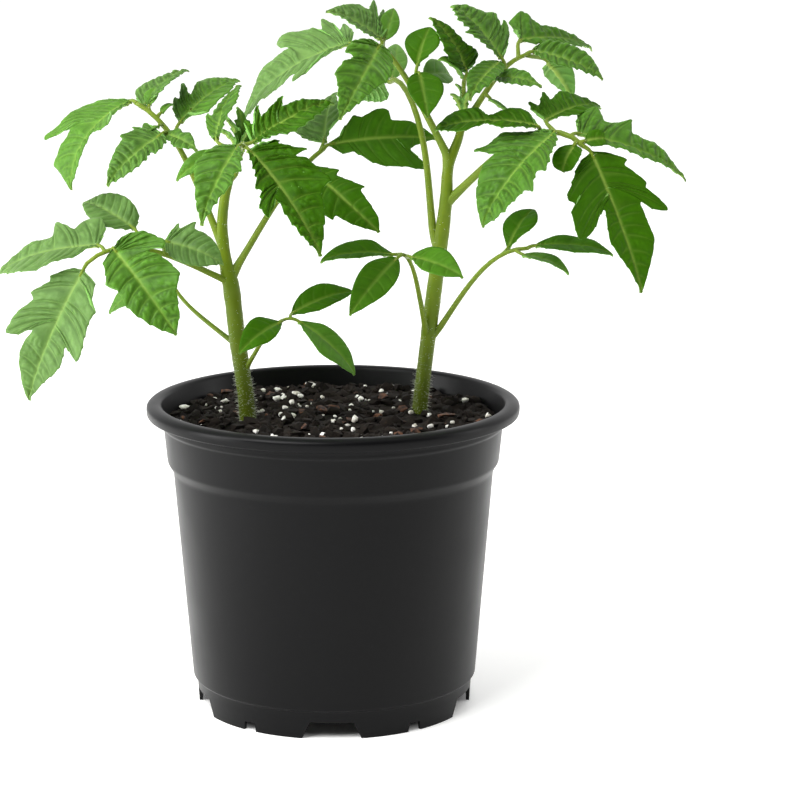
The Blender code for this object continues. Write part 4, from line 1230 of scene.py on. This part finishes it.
def zipper(first, second, points):
    """Triangles that join two lines of points which run side by side along x."""
    faces = []
    i, k = 0, 0
    while i < len(first) - 1 or k < len(second) - 1:
        second_done = k == len(second) - 1
        first_left = i < len(first) - 1
        if second_done or (first_left and points[first[i + 1]][0] <= points[second[k + 1]][0]):
            faces.append((first[i], second[k], first[i + 1]))
            i += 1
        else:
            faces.append((first[i], second[k], second[k + 1]))
            k += 1
    return faces


def upper_face(leaflet, swell, seed):
    """A blade's whole upper face, its halves joined along the midrib and doubled points merged."""
    rng = random.Random(seed)
    length = leaflet.blade[2]
    oval = len(leaflet.left) == 1
    quilt = leaflet.quilt * swell * min(1.0, length / FULL_QUILT_LENGTH) * (OVAL_QUILT if oval else 1.0)
    teeth = 0.0 if oval else TOOTH_HEIGHT * leaflet.quilt * min(1.0, length / FULL_TOOTH_LENGTH)
    spacing_share = 1.0 if oval else min(1.0, max(SMALL_VEIN_SPACING, length / FULL_SPACING_LENGTH))
    spacing = VEIN_SPACING * spacing_share
    sides = [half_surface(points, length, spacing, side, leaflet.camber, quilt, teeth, seed % 97, rng)
             for points, side in ((leaflet.left, 1), (leaflet.right, -1))]
    (left, left_faces, left_width, left_values), (right, right_faces, right_width, right_values) = sides
    points = np.vstack([left, right])
    values = np.vstack([left_values, right_values])
    if oval:
        values[:, 0] *= OVAL_VEIN_SHARE
    faces = left_faces + [tuple(i + len(left) for i in face) for face in right_faces]
    left_feet = list(range(0, len(left), left_width))
    right_feet = list(range(len(left), len(points), right_width))
    faces += zipper(left_feet, right_feet, points)
    _, keep, where = np.unique(np.round(points, 2), axis=0, return_index=True, return_inverse=True)
    where = where.reshape(-1)
    merged = []
    for face in faces:
        corners = list(dict.fromkeys(int(where[i]) for i in face))
        if len(corners) > 2:
            merged.append(tuple(corners))
    return points[keep], merged, values[keep]


def face_normals(points, faces):
    """Each point's normal, from the faces round it."""
    normals = np.zeros_like(points)
    for face in faces:
        a, b, c = points[face[0]], points[face[1]], points[face[2]]
        normal = np.cross(b - a, c - a)
        if len(face) == 4:
            normal = normal + np.cross(c - a, points[face[3]] - a)
        for i in face:
            normals[i] += normal
    sizes = np.linalg.norm(normals, axis=1)[:, None]
    return np.where(sizes > 1e-9, normals / sizes.clip(1e-9), (0, 0, 1))


def thickened(points, faces, depth):
    """A closed leaf from its upper face: the lower face lies its depth beneath, and a rim joins them."""
    below = points - face_normals(points, faces) * depth[:, None]
    count = len(points)
    edges = dict.fromkeys((a, b) for face in faces for a, b in zip(face, face[1:] + face[:1]))
    rim = [(a, b) for a, b in edges if (b, a) not in edges]
    solid = list(faces) + [tuple(i + count for i in reversed(face)) for face in faces]
    solid += [(b, a, a + count, b + count) for a, b in rim]
    return np.vstack([points, below]), solid


def blade_axes(heading, pitch, roll):
    """A blade's axes: along it, to its left, and out of its upper face."""
    along = direction(heading, pitch)
    left = np.array((-math.sin(math.radians(heading)), math.cos(math.radians(heading)), 0))
    up = np.cross(along, left)
    angle = math.radians(roll)
    side = left * math.cos(angle) + up * math.sin(angle)
    return np.array((along, side, np.cross(along, side)))


def build_leaflet(name, line, leaflet, finishes, swell):
    """One closed, veined blade, placed at the end of its stalklet."""
    seed = sum(ord(letter) * (place + 1) for place, letter in enumerate(name))
    heading, pitch, _ = leaflet.blade
    shape, faces, values = upper_face(leaflet, swell, seed)
    finish = finishes[0] if leaflet.tone < DOWNY_FROM else finishes[1]
    points, solid = thickened(shape, faces, values[:, 2])
    root = blade_base(line, leaflet) + direction(heading, pitch) * BLADE_START
    count = len(shape)
    # tone: partly the leaflet's own green, partly painted light and shade, strayed a little by chance.
    tone = leaflet.tone + random.Random(seed).uniform(-TONE_SPREAD, TONE_SPREAD)
    attributes = {
        "vein": np.tile(values[:, 0], 2),
        "hollow": np.tile(values[:, 1], 2),
        "below": np.repeat((0.0, 1.0), count),
        "tone": np.full(2 * count, min(1.0, max(0.0, tone))),
    }
    placed = root + points @ blade_axes(heading, pitch, leaflet.roll)
    return add_object(name, placed, solid, finish, attributes=attributes)


def leaf_finishes():
    """The smoother skin of deep green leaves and the downy skin of pale ones."""
    chosen = settings()
    greens = (chosen.leaf_deep, chosen.leaf_middle, chosen.leaf_pale)
    colours = [tuple(c) for c in (*greens, chosen.vein_colour, chosen.underside_colour)]
    smooth = leaf_skin("smooth tomato leaf blade", *colours, 0.0)
    downy = leaf_skin("downy tomato leaf blade", *colours, 1.0)
    return smooth, downy


def build_leaves():
    finishes = leaf_finishes()
    swell = settings().quilting / MM
    for name, leaf in LEAVES.items():
        line = stalk_line(leaf)
        for leaflet in leaf.leaflets:
            node = f"{name}_{leaflet.name}"
            blade = build_leaflet(f"{node}_blade", line, leaflet, finishes, swell)
            claim(blade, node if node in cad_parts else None)


def build_buds():
    """The youngest leaves, still narrow and folded, that crowd each growing tip."""
    finishes = leaf_finishes()
    for name, tufts in BUDS.items():
        tip = np.array(STEMS[name][-1][:3], float)
        for index, (heading, pitch, length) in enumerate(tufts):
            edge = [(length * along, length * reach) for along, reach in YOUNG_EDGE]
            young = Leaflet("young", 1.0, (heading, pitch, 0), (heading, pitch, length), 25, edge, edge,
                            tone=0.4, quilt=0.9, camber=0.12)
            line = np.array([tip - (0, 0, 1.5), tip - (0, 0, 0.5)])
            blade = build_leaflet(f"{name}_young_leaf_{index + 1}", line, young, finishes, YOUNG_QUILT)
            claim(blade)


# ---------------------------------------------------------------- stage
# In metres, watts and degrees.  A softbox is (name, place, what it is aimed at, size, power).
CAMERA_PLACE = (0.0244, -1.100, 0.3559)
CAMERA_TILT = 78.24
CAMERA_LENS = 127.7
SENSOR_WIDTH = 36
SOFTBOXES = (
    ("key softbox", (-0.9, -0.9, 1.6), (0, 0, 0.18), (1.3, 1.3), 44),
    ("left strip", (-1.3, -0.35, 0.35), (0, 0, 0.1), (0.5, 1.2), 22),
    ("right strip", (1.3, 0.1, 0.35), (0, 0, 0.1), (0.3, 1.2), 5),
)
FLOOR_HALF_WIDTH = 5.0
FLOOR_BACK = 9.0
FLOOR_GLOW = 0.35


def add_light(name, place, target, size, power):
    data = bpy.data.lights.new(name, "AREA")
    data.shape = "RECTANGLE"
    data.size, data.size_y = size
    data.energy = power
    lamp = bpy.data.objects.new(name, data)
    lamp.location = place
    lamp.rotation_euler = (Vector(target) - Vector(place)).to_track_quat("-Z", "Y").to_euler()
    bpy.context.scene.collection.objects.link(lamp)


def studio_world():
    """A white backdrop and sides, with the room in front of the pot left dim."""
    world = bpy.data.worlds.new("studio")
    world.use_nodes = True
    tree = world.node_tree
    where = add_node(tree, "ShaderNodeTexCoord").outputs["Generated"]
    toward = add_node(tree, "ShaderNodeSeparateXYZ", links={"Vector": where}).outputs["Y"]
    tree.links.new(ramp(tree, toward, -0.5, 0.12, 0.22, 1.02), tree.nodes["Background"].inputs["Strength"])
    tree.nodes["Background"].inputs["Color"].default_value = (1, 1, 1, 1)
    return world


def pale_floor():
    """A matt white floor that glows a little with painted light, except under the pot."""
    made, tree, shader = new_material("pale floor")
    set_inputs(shader, Base_Color=(*linear("F7F7F5"), 1), Roughness=0.8, Emission_Color=(1, 1, 1, 1))
    from_middle = add_node(tree, "ShaderNodeVectorMath", {"operation": "LENGTH"}, {0: object_place(tree)})
    away = from_middle.outputs["Value"]
    # Painted light: the floor's glow brightens it beyond what the lamps give; it fades out round the pot's
    # foot and is off beneath the pot, so the floor stays darker there.
    glow = ramp(tree, away, (FOOT_RADIUS - 8) * MM, (FOOT_RADIUS + 4) * MM, 0.0, FLOOR_GLOW)
    tree.links.new(glow, shader.inputs["Emission Strength"])
    return made


def build_stage():
    scene = bpy.context.scene
    scene.world = studio_world()
    scene.view_settings.view_transform = "Standard"

    mesh = bpy.data.meshes.new("floor")
    half = FLOOR_HALF_WIDTH
    corners = [(-half, -half, 0), (half, -half, 0), (half, FLOOR_BACK, 0), (-half, FLOOR_BACK, 0)]
    mesh.from_pydata(corners, [], [(0, 1, 2, 3)])
    mesh.materials.append(pale_floor())
    floor = bpy.data.objects.new("floor", mesh)
    scene.collection.objects.link(floor)

    for softbox in SOFTBOXES:
        add_light(*softbox)

    data = bpy.data.cameras.new("camera")
    data.lens = CAMERA_LENS
    data.sensor_width = SENSOR_WIDTH
    camera = bpy.data.objects.new("camera", data)
    camera.location = CAMERA_PLACE
    camera.rotation_euler = (math.radians(CAMERA_TILT), 0, 0)
    scene.collection.objects.link(camera)
    scene.camera = camera


# ---------------------------------------------------------------- operators and panel
class TOMATO_OT_pot(bpy.types.Operator):
    """Build the black nursery pot, with its foot notches and drain holes"""

    bl_idname = "tomato.pot"
    bl_label = "Pot"

    def execute(self, context):
        build_pot()
        return {"FINISHED"}


class TOMATO_OT_soil(bpy.types.Operator):
    """Build the potting mix with its crumbs, perlite and bark"""

    bl_idname = "tomato.soil"
    bl_label = "Soil"

    def execute(self, context):
        build_soil()
        return {"FINISHED"}


class TOMATO_OT_stems(bpy.types.Operator):
    """Build the two stems"""

    bl_idname = "tomato.stems"
    bl_label = "Stems"

    def execute(self, context):
        build_stems()
        return {"FINISHED"}


class TOMATO_OT_stalks(bpy.types.Operator):
    """Build every leaf stalk with its stalklets, and the plants' hairs"""

    bl_idname = "tomato.stalks"
    bl_label = "Leaf Stalks and Hairs"

    def execute(self, context):
        build_stalks()
        return {"FINISHED"}


class TOMATO_OT_leaves(bpy.types.Operator):
    """Build every veined and quilted leaflet"""

    bl_idname = "tomato.leaves"
    bl_label = "Leaflets"

    def execute(self, context):
        build_leaves()
        return {"FINISHED"}


class TOMATO_OT_buds(bpy.types.Operator):
    """Build the young folded leaves at both growing tips"""

    bl_idname = "tomato.buds"
    bl_label = "Growing Tips"

    def execute(self, context):
        build_buds()
        return {"FINISHED"}


class TOMATO_OT_stage(bpy.types.Operator):
    """Set the floor, the lights and the camera"""

    bl_idname = "tomato.stage"
    bl_label = "Stage"

    def execute(self, context):
        build_stage()
        return {"FINISHED"}


class TOMATO_PT_panel(bpy.types.Panel):
    bl_label = "Potted Tomato Plant"
    bl_idname = "TOMATO_PT_panel"
    bl_space_type = "VIEW_3D"
    bl_region_type = "UI"
    bl_category = "Tomato Plant"

    def draw(self, context):
        for name in TomatoSettings.__annotations__:
            self.layout.prop(context.scene.tomato, name)
        for operator in OPERATORS:
            self.layout.operator(operator.bl_idname)


OPERATORS = (TOMATO_OT_pot, TOMATO_OT_soil, TOMATO_OT_stems, TOMATO_OT_stalks, TOMATO_OT_leaves,
             TOMATO_OT_buds, TOMATO_OT_stage)
CLASSES = (TomatoSettings, *OPERATORS, TOMATO_PT_panel)


def register():
    for item in CLASSES:
        bpy.utils.register_class(item)
    bpy.types.Scene.tomato = PointerProperty(type=TomatoSettings)


def unregister():
    del bpy.types.Scene.tomato
    for item in reversed(CLASSES):
        bpy.utils.unregister_class(item)


def main():
    register()
    bpy.ops.tomato.pot()
    bpy.ops.tomato.soil()
    bpy.ops.tomato.stems()
    bpy.ops.tomato.stalks()
    bpy.ops.tomato.leaves()
    bpy.ops.tomato.buds()
    bpy.ops.tomato.stage()


if __name__ == "__main__":
    main()
